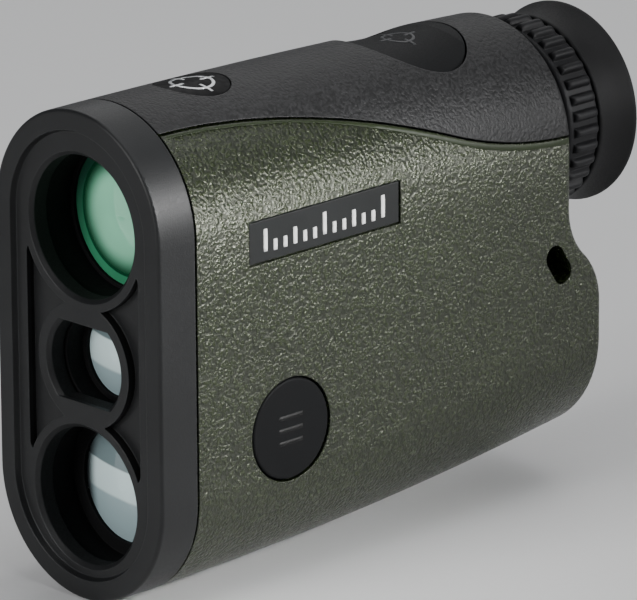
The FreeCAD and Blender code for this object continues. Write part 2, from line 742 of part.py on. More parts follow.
def field_tool():
    """What the rim stands round: a stadium whose wall leans inwards down to the field."""
    past = size("rim_height") + 1
    depth = size("rim_height") + "field_depth"
    near = inset_stadium(size("rim_inset") - "rim_draft")
    far = inset_stadium(size("rim_inset") + depth * "rim_draft")
    loft = DOC.addObject("Part::Loft", "field")
    loft.Sections = [
        drawing("field_near", "front", near, -past),
        drawing("field_far", "front", far, "field_depth"),
    ]
    loft.Ruled = True
    loft.Solid = True
    return loft


def rounded_block(name, half, low, high, corner, front, rear):
    """A block with rounded corners as seen from the front."""
    half, low, high, corner = size(half), size(low), size(high), size(corner)
    corners = [
        (half - corner, low),
        (half, low + corner, corner),
        (half, high - corner),
        (half - corner, high, corner),
        (corner - half, high),
        (-half, high - corner, corner),
        (-half, low + corner),
        (corner - half, low, corner),
    ]
    return prism(name, "front", corners, front, rear)


def rounded_front(solid):
    """The bezel's blank with its front edge rounded."""
    DOC.recompute()
    radius = VALUES["bezel_round"]
    edges = []
    for number, edge in enumerate(solid.Shape.Edges, start=1):
        if edge.BoundBox.YMax < 0:
            edges.append((number, radius, radius))
    fillet = DOC.addObject("Part::Fillet", "bezel_rounded")
    fillet.Base = solid
    fillet.Edges = edges
    return fillet


def window_bevel(name, radius, height):
    """The bevel at the mouth of a round window, which starts at the field behind the rim."""
    cone = DOC.addObject("Part::Cone", name)
    bevel = size("window_bevel")
    bind(cone, "Radius1", size(radius) + bevel + "field_depth")
    bind(cone, "Radius2", radius)
    bind(cone, "Height", bevel + "field_depth")
    place(cone, 0, 0, height, ALONG_Y)
    return cone


def build_bezel():
    """The front bezel: raised rim, field, two pockets, three windows and the skirt behind the plate."""
    blank = rounded_front(stadium_block("bezel_blank", 0, -size("rim_height"), "bezel_depth"))
    hollow = stadium_block("bezel_hollow", "wall", "bezel_plate", size("bezel_depth") + 1)
    block = rounded_block(
        "pocket_block",
        "pocket_reach",
        size("receiver_z") + "pocket_end",
        size("objective_z") - "pocket_end",
        "pocket_corner",
        -1,
        "pocket_depth",
    )
    rings = [
        ("objective", size("objective_window") + "window_ring"),
        ("emitter", size("emitter_window") + "middle_ring"),
        ("receiver", size("receiver_window") + "window_ring"),
    ]
    posts = [cylinder(f"{n}_ring", "Y", r, -2, size("pocket_depth") + 1, 0, n + "_z") for n, r in rings]
    pockets = cut("pockets", block, *posts)
    past = size("bezel_plate") + 1
    windows = []
    for name in ("objective", "receiver"):
        windows.append(cylinder(name + "_hole", "Y", name + "_window", -1, past, 0, name + "_z"))
        windows.append(window_bevel(name + "_bevel", name + "_window", name + "_z"))
    slab = box(
        "emitter_slab",
        (-size("half_width"), "half_width"),
        (-1, past),
        (size("emitter_z") - "emitter_flat_down", size("emitter_z") + "emitter_flat_up"),
    )
    for name, solid in (
        ("emitter_hole", cylinder("emitter_round", "Y", "emitter_window", -1, past, 0, "emitter_z")),
        ("emitter_mouth", window_bevel("emitter_bevel", "emitter_window", "emitter_z")),
    ):
        windows.append(common(name, solid, slab))
    piece(cut("bezel", blank, hollow, field_tool(), pockets, *windows), "front_bezel")

    seal_outside = stadium_block("seal_outside", size("wall") + 0.15, "barrel_start", size("cover_start") + 0.4)
    seal_inside = stadium_block("seal_inside", 3.1, "bezel_plate", "bulkhead_front")
    piece(cut("seal", seal_outside, seal_inside), "front_seal")


def build_plates():
    """The side name plate and the round badge on top."""
    outside = size("half_width") - "plate_recess" + "plate_thick"
    floor = size("plate_recess") - 0.02
    piece(name_plate_box("plate", floor, 0, outside), "name_plate")
    skin = cut(
        "badge_skin",
        form("form_badge", size("badge_recess") - "badge_thick"),
        form("form_badge_under", size("badge_recess") - 0.02),
    )
    piece(common("badge", badge_column("badge_disc", "badge_radius"), skin), "top_badge")


def build_measure_button():
    """The dished measure button with its flange, its switch and the small board under it."""
    under = form("form_button_under", "measure_deep")
    cap = cut("button_cap", common("button_top", measure_column("button_oval", 0), form("form_button", 0.05)), under)
    below_wall = form("form_flange", size("wall") + "flange_gap")
    flange = cut("flange", common("flange_top", measure_column("flange_oval", "measure_flange"), below_wall), under)
    dish = DOC.addObject("Part::Torus", "finger_dish")
    square = size("measure_station") * "measure_station"
    crest = size("body_height") - square * "top_fall"
    axis_height = crest - "half_width"
    bind(dish, "Radius1", size("half_width") - "measure_dish" + "dish_radius")
    bind(dish, "Radius2", "dish_radius")
    place(dish, 0, "measure_station", axis_height, ALONG_Y)
    piece(cut("button_dished", fuse("button_body", cap, flange), dish), "measure_button")

    board_high = size("measure_board_low") + "small_board_thick"
    station = size("measure_station")
    half_x, half_y = size("measure_board_half_x"), size("measure_board_half_y")
    piece(
        box(
            "measure_board",
            (-half_x, half_x),
            (station - half_y, station + half_y),
            ("measure_board_low", board_high),
        ),
        "measure_board",
    )
    half = size("switch_half")
    switch_high = board_high + "measure_switch_thick"
    body = box("measure_switch_body", (-half, half), (station - half, station + half), (board_high, switch_high))
    plunger = cylinder(
        "measure_plunger", "Z", "plunger_radius", switch_high - 0.1, switch_high + "plunger_length", 0, station
    )
    piece(fuse("measure_switch_parts", body, plunger), "measure_switch")


def build_menu_button():
    """The round menu button in the left cover, its switch and its board."""
    face = size("half_width") - 0.05
    under = size("half_width") - "wall" - "flange_gap"
    edge = size("menu_edge")
    turned(
        "menu_button",
        [
            (0, "menu_stem_end"),
            ("menu_stem", "menu_stem_end"),
            ("menu_stem", under - "menu_flange_thick"),
            (size("menu_radius") + "menu_flange", under - "menu_flange_thick"),
            (size("menu_radius") + "menu_flange", under),
            ("menu_radius", under),
            ("menu_radius", face - edge),
            (size("menu_radius") - edge, face, edge),
            (0, face),
        ],
        centre_y="menu_station",
        centre_z="menu_z",
        rotation=ALONG_X,
    )
    inside = size("menu_board_inside")
    outside = inside + "small_board_thick"
    half = size("menu_board_half")
    station, height = size("menu_station"), size("menu_z")
    piece(
        box("menu_board", (inside, outside), (station - half, station + half), (height - half, height + half)),
        "menu_board",
    )
    half = size("switch_half")
    switch = box(
        "menu_switch",
        (outside, outside + "menu_switch_thick"),
        (station - half, station + half),
        (height - half, height + half),
    )
    piece(switch, "menu_switch")


def build_screws():
    """Two countersunk-style screws that pull the right cover onto the left one."""
    screws = []
    for n, (station, height) in enumerate(screw_places()):
        inside = -size("screw_head_inside")
        shank = cylinder(f"shank_{n}", "X", "screw_radius", inside - 0.1, size("screw_reach") - 0.4, station, height)
        head = cylinder(f"head_{n}", "X", "screw_head", -size("screw_head_outside"), inside, station, height)
        floor = size("driver_depth") - "screw_head_outside"
        socket = cylinder(f"socket_{n}", "X", "driver_radius", -size("half_width"), floor, station, height)
        screws.append(cut(f"screw_{n}", fuse(f"screw_blank_{n}", shank, head), socket))
    piece(fuse("screws", *screws), "cover_screws")


# ---------------------------------------------------------------------------------------------------------------
# Optics


def lens(label, radius, height, front, rear, dome_half, front_dome, rear_dome):
    """A lens with a domed front inside a flat margin and, where rear_dome isn't zero, a rear like it."""
    front, rear = size(front), size(rear)
    profile = [
        (0, front - front_dome),
        (dome_half, front, dome_radius(dome_half, front_dome)),
        (radius, front),
        (radius, rear),
    ]
    if size(rear_dome).value:
        profile.append((dome_half, rear))
        profile.append((0, rear + rear_dome, dome_radius(dome_half, rear_dome)))
    else:
        profile.append((0, rear))
    return turned(label, profile, centre_z=height)


def can(label, radius, length, front, height, pins):
    """A metal component can with its pins at the rear."""
    front = size(front)
    rear = front + length
    parts = [cylinder(label + "_can", "Y", radius, front, rear, 0, height)]
    for n in range(pins):
        angle = 2 * math.pi * n / pins + math.pi / 2
        x = size("pin_circle") * math.cos(angle)
        z = size(height) + size("pin_circle") * math.sin(angle)
        parts.append(cylinder(f"{label}_pin_{n}", "Y", "pin_radius", rear - 0.1, rear + "pin_length", x, z))
    piece(fuse(label + "_parts", *parts), label)


def build_objective():
    """The objective's barrel, its two elements and their retaining ring."""
    bore = size("objective_bore")
    turned(
        "objective_barrel",
        [
            (bore, "barrel_start"),
            ("objective_tube", "barrel_start"),
            ("objective_tube", "objective_end"),
            (bore, "objective_end"),
            (bore, "objective_seat"),
            ("objective_stop", "objective_seat"),
            ("objective_stop", "objective_stop_front"),
            (bore, "objective_stop_front"),
        ],
        centre_z="objective_z",
    )
    seat = size("objective_seat") + "fit_play"
    radius = bore - "fit_play"
    lens("objective_lens", radius, "objective_z", seat, seat + 2.2, 9.2, 1.1, 1.2)
    bend = dome_radius(radius, 1.2)
    turned(
        "objective_rear_element",
        [
            (0, seat + 3.7),
            (radius, seat + 2.5, -bend),
            (radius, seat + 5.8),
            (0, seat + 5.0, -dome_radius(radius, 0.8)),
        ],
        centre_z="objective_z",
    )
    turned("objective_retainer", tube(radius - 1.1, radius, seat + 6.1, seat + 7.6), centre_z="objective_z")


def build_emitter():
    """The laser emitter: barrel, lens, retaining ring and diode."""
    seat_radius = size("emitter_seat_radius") + "fit_play"
    hole = size("diode_radius") + "fit_play"
    inner_end = size("emitter_end") - 1.5
    turned(
        "emitter_barrel",
        [
            ("emitter_bore", "barrel_start"),
            ("emitter_tube", "barrel_start"),
            ("emitter_tube", "emitter_end"),
            (hole, "emitter_end"),
            (hole, inner_end),
            (seat_radius, inner_end),
            (seat_radius, "emitter_seat"),
            ("emitter_stop", "emitter_seat"),
            ("emitter_stop", "emitter_stop_front"),
            ("emitter_bore", "emitter_stop_front"),
        ],
        centre_z="emitter_z",
    )
    seat = size("emitter_seat") + "fit_play"
    radius = size("emitter_seat_radius")
    lens("emitter_lens", radius, "emitter_z", seat, seat + 2.8, 6.0, 1.0, 0)
    turned("emitter_retainer", tube(radius - 0.8, radius, seat + 3.1, seat + 4.4), centre_z="emitter_z")
    can("laser_diode", "diode_radius", "diode_length", inner_end + 0.2, "emitter_z", 3)


def build_receiver():
    """The receiver: tapering barrel, lens, retaining ring and photodiode."""
    bore = size("receiver_bore")
    seat_radius = size("receiver_seat_radius")
    hole = size("photodiode_radius") + "fit_play"
    turned(
        "receiver_barrel",
        [
            (bore, "barrel_start"),
            ("receiver_tube", "barrel_start"),
            ("receiver_tube", "receiver_cone"),
            ("receiver_tail", "receiver_cone_end"),
            ("receiver_tail", "receiver_end"),
            (hole, "receiver_end"),
            (hole, "receiver_cone_end"),
            (size("receiver_tail") - 1.0, "receiver_cone_end"),
            (seat_radius, "receiver_cone"),
            (seat_radius, "receiver_seat"),
            ("receiver_stop", "receiver_seat"),
            ("receiver_stop", "receiver_stop_front"),
            (bore, "receiver_stop_front"),
        ],
        centre_z="receiver_z",
    )
    seat = size("receiver_seat") + "fit_play"
    radius = seat_radius - "fit_play"
    lens("receiver_lens", radius, "receiver_z", seat, seat + 2.9, 8.7, 1.3, 0)
    turned("receiver_retainer", tube(radius - 0.9, radius, seat + 3.2, seat + 4.5), centre_z="receiver_z")
    can("photodiode", "photodiode_radius", "photodiode_length", size("receiver_cone_end") + 0.2, "receiver_z", 3)


def build_frame():
    """The optical frame: bulkhead for the barrels, side rails, prism shelf and the hoop for the eyepiece."""
    tall = (size(0), size("body_height"))
    wide = (-size("half_width"), size("half_width"))
    bulkhead = box("bulkhead", wide, ("bulkhead_front", "bulkhead_rear"), tall)
    rails = [
        box(f"rail_{side}", x, ("bulkhead_front", "hoop_rear"), ("rail_low", "rail_high"))
        for side, x in (
            ("left", ("rail_inside", "rail_outside")),
            ("right", (-size("rail_outside"), -size("rail_inside"))),
        )
    ]
    shelf_x = (-size("rail_outside"), size("rail_outside"))
    shelf = box("shelf", shelf_x, ("shelf_front", "shelf_rear"), ("rail_low", "shelf_high"))
    hoop = box("hoop", wide, ("hoop_front", "hoop_rear"), ("rail_low", "body_height"))
    blank = common("frame_blank", fuse("frame_parts", bulkhead, *rails, shelf, hoop), form("form_frame", "frame_inset"))
    play = size("fit_play")
    ends = (size("bulkhead_front") - 1, size("bulkhead_rear") + 1)
    holes = [
        cylinder(f"{name}_seat_hole", "Y", size(name + "_tube") + play, *ends, 0, name + "_z")
        for name in ("objective", "emitter", "receiver")
    ]
    ends = (size("hoop_front") - 1, size("hoop_rear") + 1)
    holes.append(cylinder("hoop_hole", "Y", size("neck_radius") + play, *ends, 0, "eye_z"))
    piece(cut("frame", blank, *holes), "optical_frame")


def build_prisms():
    """The prism housing and the two roof-prism blocks inside it."""
    block = box(
        "housing_block",
        (-size("housing_half"), "housing_half"),
        ("housing_front", "housing_rear"),
        ("housing_low", "housing_high"),
    )
    blank = common("housing_blank", block, form("form_housing", "housing_inset"))
    chamber = box(
        "chamber",
        (-size("chamber_half"), "chamber_half"),
        (size("housing_front") + "housing_wall", size("housing_rear") - "housing_wall"),
        ("chamber_low", "chamber_high"),
    )
    path = cylinder("light_path", "Y", "light_radius", "shelf_front", "shelf_rear", 0, "eye_z")
    piece(cut("housing", blank, chamber, path), "prism_housing")

    half = size("prism_half")
    gap = size("prism_gap") / 2
    corner = size("prism_corner")
    low, high = size("prism_low"), size("prism_high")
    front, rear = size("prism_front"), size("prism_rear")
    first = [
        (front, low + corner),
        (front + corner, low),
        (size("prism_split_low") - gap, low),
        (size("prism_split_high") - gap, high),
        (front, high),
    ]
    piece(prism("first_prism", "side", first, -half, half), "half_penta_prism")
    second = [
        (size("prism_split_low") + gap, low),
        (rear - corner, low),
        (rear, low + corner),
        (rear, high),
        (size("prism_split_high") + gap, high),
    ]
    piece(prism("second_prism", "side", second, -half, half), "roof_prism")


def build_display():
    """The transparent display at the image plane, its frame and its flat cable."""
    half, outer = size("display_half"), size("display_frame_half")
    front = size("display_front")
    low, high = size("eye_z") - half, size("eye_z") + half
    seat = front + 0.6
    piece(box("display", (-half, half), (seat, seat + "display_thick"), (low, high)), "display_panel")
    block = box(
        "display_block",
        (-outer, outer),
        (front, front + "display_frame_thick"),
        (size("eye_z") - outer, size("eye_z") + outer),
    )
    play = size("fit_play")
    rear = front + "display_frame_thick" + 1
    pocket = box("display_pocket", (-half - play, half + play), (seat - play, rear), (low - play, high + play))
    view = cylinder("display_opening", "Y", "display_view", front - 1, rear, 0, "eye_z")
    piece(cut("display_holder", block, pocket, view), "display_frame")

    outside, thick = size("cable_outside"), size("cable_thick")
    path = [
        (-outside, "cable_low"),
        (thick - outside, "cable_low"),
        (thick - outside, size("cable_high") - thick),
        (-outer - 0.1, size("cable_high") - thick),
        (-outer - 0.1, "cable_high"),
        (-outside, "cable_high"),
    ]
    start = front + 0.5
    piece(prism("flat_cable", "front", path, start, start + "cable_width"), "display_cable")


def build_eyepiece():
    """Fixed sleeve, sliding ocular cell with its lenses, ribbed diopter ring and rubber eyecup."""
    turned(
        "eyepiece_sleeve",
        [
            ("sleeve_bore", "sleeve_start"),
            ("neck_radius", "sleeve_start"),
            ("neck_radius", "sleeve_flange_front"),
            ("sleeve_flange", "sleeve_flange_front"),
            ("sleeve_flange", "sleeve_flange_rear"),
            ("neck_radius", "sleeve_flange_rear"),
            ("neck_radius", "neck_end"),
            ("sleeve_radius", "neck_end"),
            ("sleeve_radius", "sleeve_end"),
            ("sleeve_bore", "sleeve_end"),
        ],
        centre_z="eye_z",
    )
    lens_seat = size("cell_start") + "cell_stop_thick"
    turned(
        "ocular_cell",
        [
            ("cell_stop", "cell_start"),
            ("cell_radius", "cell_start"),
            ("cell_radius", "cell_end"),
            ("cell_bore", "cell_end"),
            ("cell_bore", lens_seat),
            ("cell_stop", lens_seat),
        ],
        centre_z="eye_z",
    )
    radius, dome = size("eye_lens_radius"), size("lens_bulge")
    clear = size("ocular_ring")
    field_front = lens_seat + "fit_play"
    turned(
        "field_lens",
        [
            (0, field_front),
            (radius, field_front),
            (radius, "field_lens_rear"),
            ("cell_stop", "field_lens_rear"),
            (0, size("field_lens_rear") + dome, dome_radius("cell_stop", dome)),
        ],
        centre_z="eye_z",
    )
    spacer = tube(clear, radius, size("field_lens_rear") + 0.05, size("eye_lens_front") - 0.05)
    turned("ocular_spacer", spacer, centre_z="eye_z")
    lens("eye_lens", radius, "eye_z", "eye_lens_front", "eye_lens_rear", "cell_stop", 0.6, dome)
    holder = tube(clear, radius, size("eye_lens_rear") + 0.1, "cell_end")
    turned("ocular_retainer", holder, centre_z="eye_z")

    edge = size("ring_round")
    ring = turned(
        "diopter_ring",
        [
            ("ring_bore", "ring_start"),
            (size("ring_radius") - edge, "ring_start"),
            ("ring_radius", size("ring_start") + edge, edge),
            ("ring_radius", "ring_end"),
            ("ring_bore", "ring_end"),
        ],
        centre_z="eye_z",
    )
    add_ribs(ring)

    lip = size("cup_lip")
    floor = size("cup_floor")
    crest = size("cup_rim") - lip
    start = size("ring_end") + 0.05
    rim = size("cup_end")
    flank = size("cup_rim") - "cup_radius"
    run = rim - lip - start
    bend = (run * run + flank * flank) / (size("cup_waist") * 8)
    turned(
        "eyecup",
        [
            ("cup_hole", start),
            ("cup_radius", start),
            ("cup_rim", rim - lip, -bend),
            (crest, rim, lip),
            (crest - lip, rim - lip, lip),
            ("cup_floor_radius", floor),
            ("cup_hole", floor),
        ],
        centre_z="eye_z",
    )


def add_ribs(ring):
    """Grip ribs all round the diopter ring."""
    half, top = size("rib_half"), size("rib_top")
    root = size("ring_radius") - 0.4
    sketch = ring.newObject("Sketcher::SketchObject", "rib_outline")
    sketch.AttachmentSupport = (plane(ring, "XY_Plane"), [""])
    sketch.MapMode = "FlatFace"
    outline(sketch, [(root, -half), (top - half, -half), (top, 0, half), (top - half, half, half), (root, half)])
    bind(sketch, "AttachmentOffset.Base.z", "rib_start")
    rib = ring.newObject("PartDesign::Pad", "rib")
    rib.Profile = sketch
    bind(rib, "Length", "rib_length")
    DOC.recompute()
    ribs = ring.newObject("PartDesign::PolarPattern", "ribs")
    ribs.Originals = [rib]
    ribs.Axis = (plane(ring, "Z_Axis"), [""])
    ribs.Angle = 360
    bind(ribs, "Occurrences", "rib_count")
    ring.Tip = ribs


# ---------------------------------------------------------------------------------------------------------------
# Battery and boards


def build_battery():
    """Battery, its tube, spring, contact, cap and O-ring."""
    front = size("battery_front")
    rear = front + "battery_length"
    edge = size("battery_edge")
    shoulder = front + "nub_length"
    turned(
        "battery",
        [
            (0, front),
            ("nub_radius", front),
            ("nub_radius", shoulder),
            (size("battery_radius") - edge, shoulder),
            ("battery_radius", shoulder + edge, edge),
            ("battery_radius", rear - edge),
            (size("battery_radius") - edge, rear, edge),
            (0, rear),
        ],
        centre_z="battery_z",
    )
    turned(
        "battery_tube",
        [
            (0, "tube_front"),
            ("tube_radius", "tube_front"),
            ("tube_radius", "tube_end"),
            ("tube_bore", "tube_end"),
            ("tube_bore", "tube_floor"),
            (0, "tube_floor"),
        ],
        centre_z="battery_z",
    )
    build_spring(size("tube_floor") + 0.1, front - 0.1)
    contact_front = rear + 0.05
    turned(
        "cap_contact",
        [
            (0, contact_front),
            ("contact_radius", contact_front),
            ("contact_radius", contact_front + "contact_thick"),
            (0, contact_front + "contact_thick"),
        ],
        centre_z="battery_z",
    )
    cap_edge = size("cap_edge")
    cap = turned(
        "battery_cap",
        [
            (0, "plug_front"),
            ("plug_radius", "plug_front"),
            ("plug_radius", size("plug_front") + 0.9),
            ("plug_neck", size("plug_front") + 0.9),
            ("plug_neck", size("plug_front") + 2.2),
            ("plug_radius", size("plug_front") + 2.2),
            ("plug_radius", "cap_front"),
            ("cap_radius", "cap_front"),
            ("cap_radius", size("cap_rear") - cap_edge),
            (size("cap_radius") - cap_edge, "cap_rear", cap_edge),
            (0, "cap_rear"),
        ],
        centre_z="battery_z",
    )
    add_coin_slot(cap)
    wire = size("oring_wire")
    ring = DOC.addObject("Part::Torus", "oring")
    bind(ring, "Radius1", size("plug_neck") + wire + 0.02)
    bind(ring, "Radius2", wire)
    place(ring, 0, 0, "battery_z", ALONG_Y)
    ring.Label = "cap_oring"
    bind(ring, "Placement.Base.y", size("plug_front") + 1.55 - body_middle())
    PIECES.append(ring)


def add_coin_slot(cap):
    """A coin slot across the battery cap's face."""
    DOC.recompute()
    before = cap.Shape.Volume
    half, reach = size("coin_half"), size("coin_reach")
    sketch = cap.newObject("Sketcher::SketchObject", "coin_outline")
    sketch.AttachmentSupport = (plane(cap, "XY_Plane"), [""])
    sketch.MapMode = "FlatFace"
    bind(sketch, "AttachmentOffset.Base.z", "cap_rear")
    outline(
        sketch,
        [
            (reach - half, -half),
            (reach, 0, half),
            (reach - half, half, half),
            (half - reach, half),
            (-reach, 0, half),
            (half - reach, -half, half),
        ],
    )
    slot = cap.newObject("PartDesign::Pocket", "coin_slot")
    slot.Profile = sketch
    bind(slot, "Length", "coin_depth")
    DOC.recompute()
    if cap.Shape.Volume >= before:
        raise RuntimeError("the coin slot cuts nothing")


def build_spring(front, rear):
    """A conical spring that presses on the battery's nub. Its wire follows a helix."""
    wire = VALUES["spring_wire"]
    low, high = front.value + wire, rear.value - wire
    turns = VALUES["spring_turns"]
    large, small = VALUES["spring_radius"], VALUES["spring_tip"]
    pitch = (high - low) / turns
    slope = math.degrees(math.atan2(small - large, high - low))
    path = Part.makeLongHelix(pitch, high - low, large, slope)
    spine = Part.Wire(path.Edges)
    ring = Part.Wire(Part.makeCircle(wire, Vector(large, 0, 0), Vector(0, 1, 0)))
    spring = DOC.addObject("Part::Feature", "battery_spring")
    spring.Shape = spine.makePipeShell([ring], True, True)
    spring.Label = "battery_spring"
    place(spring, 0, front + "spring_wire" - body_middle(), "battery_z", ALONG_Y)
    PIECES.append(spring)


def build_boards():
    """The main board beside the battery tube, and the chips on its inner face."""
    outside = -size("board_outside")
    inside = outside + "board_thick"
    blank = box("board_blank", (outside, inside), ("board_front", "board_rear"), ("board_low", "board_high"))
    clear = size("boss_radius") + 0.4
    passage = cylinder("boss_passage", "X", clear, outside - 1, inside + 1, *screw_places()[1])
    piece(cut("board", blank, passage), "main_board")

    chips = []
    for n, (station, height, half_y, half_z) in enumerate(
        ((40.0, 27.5, 4.0, 4.0), (40.0, 35.5, 2.5, 2.5), (26.0, 34.0, 3.0, 3.0), (66.0, 35.5, 5.0, 2.5))
    ):
        top = inside + 0.05 + "chip_height"
        y = (size(station) - half_y, size(station) + half_y)
        z = (size(height) - half_z, size(height) + half_z)
        chips.append(box(f"chip_{n}", (inside + 0.05, top), y, z))
    piece(fuse("chips", *chips), "board_chips")


def check_and_write():
    """Stops on any failed object, then writes each piece to its own file."""
    DOC.recompute()
    for thing in DOC.Objects:
        if {"Invalid", "Error"} & set(thing.State):
            raise RuntimeError(f"{thing.Name} failed: {thing.State}")
    os.makedirs("parts", exist_ok=True)
    for part in PIECES:
        shape = part.Shape
        if shape.isNull() or not shape.isValid() or not shape.Solids:
            raise RuntimeError(f"{part.Label} has no valid solid")
        shape.exportStep(f"parts/{part.Label}.step")
    print(len(PIECES), "pieces written")


build_sheet()
build_bezel()
build_covers()
build_plates()
build_measure_button()
build_menu_button()
build_screws()
build_objective()
build_emitter()
build_receiver()
build_frame()
build_prisms()
build_display()
build_eyepiece()
build_battery()
build_boards()
check_and_write()
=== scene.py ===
"""The rangefinder's looks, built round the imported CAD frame. All lengths are in metres."""
import json
import math

import bmesh
import bpy
from mathutils import Matrix, Vector
from mathutils.bvhtree import BVHTree


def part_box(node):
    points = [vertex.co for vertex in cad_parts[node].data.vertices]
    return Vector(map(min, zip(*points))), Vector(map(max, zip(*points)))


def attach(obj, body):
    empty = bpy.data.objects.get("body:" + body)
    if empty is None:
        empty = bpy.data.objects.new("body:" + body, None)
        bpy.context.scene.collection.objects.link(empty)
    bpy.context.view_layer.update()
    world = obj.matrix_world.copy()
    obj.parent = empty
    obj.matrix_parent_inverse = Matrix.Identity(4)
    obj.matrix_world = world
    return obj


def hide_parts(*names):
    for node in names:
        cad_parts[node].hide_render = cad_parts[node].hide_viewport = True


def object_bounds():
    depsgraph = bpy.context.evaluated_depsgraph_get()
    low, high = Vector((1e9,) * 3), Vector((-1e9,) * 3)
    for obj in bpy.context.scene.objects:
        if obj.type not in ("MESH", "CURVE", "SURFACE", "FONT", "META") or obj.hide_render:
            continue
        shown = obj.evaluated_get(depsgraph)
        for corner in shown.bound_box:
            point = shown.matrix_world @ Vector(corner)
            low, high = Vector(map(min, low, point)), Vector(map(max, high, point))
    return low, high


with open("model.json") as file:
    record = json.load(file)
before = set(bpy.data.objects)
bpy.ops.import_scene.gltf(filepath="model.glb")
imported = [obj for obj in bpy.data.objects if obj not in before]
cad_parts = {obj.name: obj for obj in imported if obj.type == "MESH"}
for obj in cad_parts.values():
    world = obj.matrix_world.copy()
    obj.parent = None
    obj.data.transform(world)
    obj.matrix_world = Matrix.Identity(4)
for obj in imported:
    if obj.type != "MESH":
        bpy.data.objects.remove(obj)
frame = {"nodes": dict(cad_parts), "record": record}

MM = 0.001
CAD_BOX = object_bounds()
BODY_HEIGHT = (CAD_BOX[1] - CAD_BOX[0]).z
HALF_WIDTH = CAD_BOX[1].x
OBJECTIVE_HEIGHT = 55.3 * MM
EMITTER_HEIGHT = 34.9 * MM
RECEIVER_HEIGHT = 15.2 * MM
EYEPIECE_HEIGHT = 54.1 * MM
RIM_HEIGHT = 0.7 * MM
# Stations are measured backwards along +Y from the foot of the bezel's raised rim.
FRONT = CAD_BOX[0].y + RIM_HEIGHT

# Driving sizes of the tapering form and of the seam, as in the CAD part.
BOTTOM_RISE = 0.75
TOP_FALL = 0.3
SEAM_FRONT = (6.6 * MM, 69.5 * MM)
SEAM_TURN = (59.0 * MM, 59.75 * MM)
SEAM_REAR = (84.0 * MM, 55.2 * MM)

# The green covers' sides are shaded as if rounded over, with this radius, above this level.
CROWN_START, CROWN_RADIUS = 47.5 * MM, 48 * MM
# Blur of the normals at moulded edges, and at the edges of machined metal.
MOULDED_EDGE, METAL_EDGE = 0.25 * MM, 0.12 * MM
# The darkest base colour: painted shade for walls that lie deep in a recess.
PAINTED_HOLLOW_SHADE = (0.002, 0.002, 0.002)
# Most of a noise texture's values lie in this span.
NOISE_SPAN = (0.3, 0.7)


# ---- meshes


def add_piece(name, vertices, faces, body, material, sharp_degrees=35):
    """Adds a mesh piece that rides on a body and takes its finish from a slot."""
    mesh = bpy.data.meshes.new(name)
    mesh.from_pydata([tuple(v) for v in vertices], [], faces)
    mesh.validate()
    mesh.shade_smooth()
    mesh.set_sharp_from_angle(angle=math.radians(sharp_degrees))
    mesh.materials.append(material)
    piece = bpy.data.objects.new(name, mesh)
    bpy.context.collection.objects.link(piece)
    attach(piece, body)
    return piece


def grid_faces(rows, columns, close_rows=False, close_columns=False, start=0):
    """The quads of a grid of points, closed into a loop along either direction if asked."""
    faces = []
    for row in range(rows if close_rows else rows - 1):
        for column in range(columns if close_columns else columns - 1):
            below, beside = (row + 1) % rows, (column + 1) % columns
            corners = ((row, column), (row, beside), (below, beside), (below, column))
            faces.append([start + r * columns + c for r, c in corners])
    return faces


def lathe(name, profile, centre_z, segments, body, material, radius_at=None):
    """A closed profile of (radius, station) turned about the line along Y at centre_z."""
    points = []
    for radius, station in profile:
        for k in range(segments):
            angle = 2 * math.pi * k / segments
            r = radius_at(radius, station, angle) if radius_at else radius
            points.append((r * math.sin(angle), FRONT + station, centre_z + r * math.cos(angle)))
    faces = grid_faces(len(profile), segments, True, True)
    return add_piece(name, points, faces, body, material)


def arc_points(centre, radius, start_degrees, end_degrees, steps):
    """Points on an arc, both ends included."""
    sweep = end_degrees - start_degrees
    turns = [math.radians(start_degrees + sweep * k / steps) for k in range(steps + 1)]
    return [(centre[0] + radius * math.cos(t), centre[1] + radius * math.sin(t)) for t in turns]


def side_x(station, z, inset=0.0):
    """Distance from the centre plane to the tapering form's side at a station and a height."""
    half = HALF_WIDTH - inset
    low = BOTTOM_RISE * station * station + HALF_WIDTH
    high = BODY_HEIGHT - TOP_FALL * station * station - HALF_WIDTH
    beyond = max(low - z, z - high, 0.0)
    return math.sqrt(max(half * half - beyond * beyond, 0.0))


def seam_height(station):
    """Height of the top cover's seam at a station: two arcs that meet at SEAM_TURN."""
    turn, rear, front = SEAM_TURN, SEAM_REAR, SEAM_FRONT
    if station >= rear[0]:
        return rear[1]
    if station > turn[0]:
        run, drop = rear[0] - turn[0], turn[1] - rear[1]
        bend = (run * run + drop * drop) / (2 * drop)
        return rear[1] + bend - math.sqrt(bend * bend - (rear[0] - station) ** 2)
    run, drop = turn[0] - front[0], front[1] - turn[1]
    bend = (run * run + drop * drop) / (2 * drop)
    return front[1] - bend + math.sqrt(bend * bend - (station - front[0]) ** 2)


# ---- materials


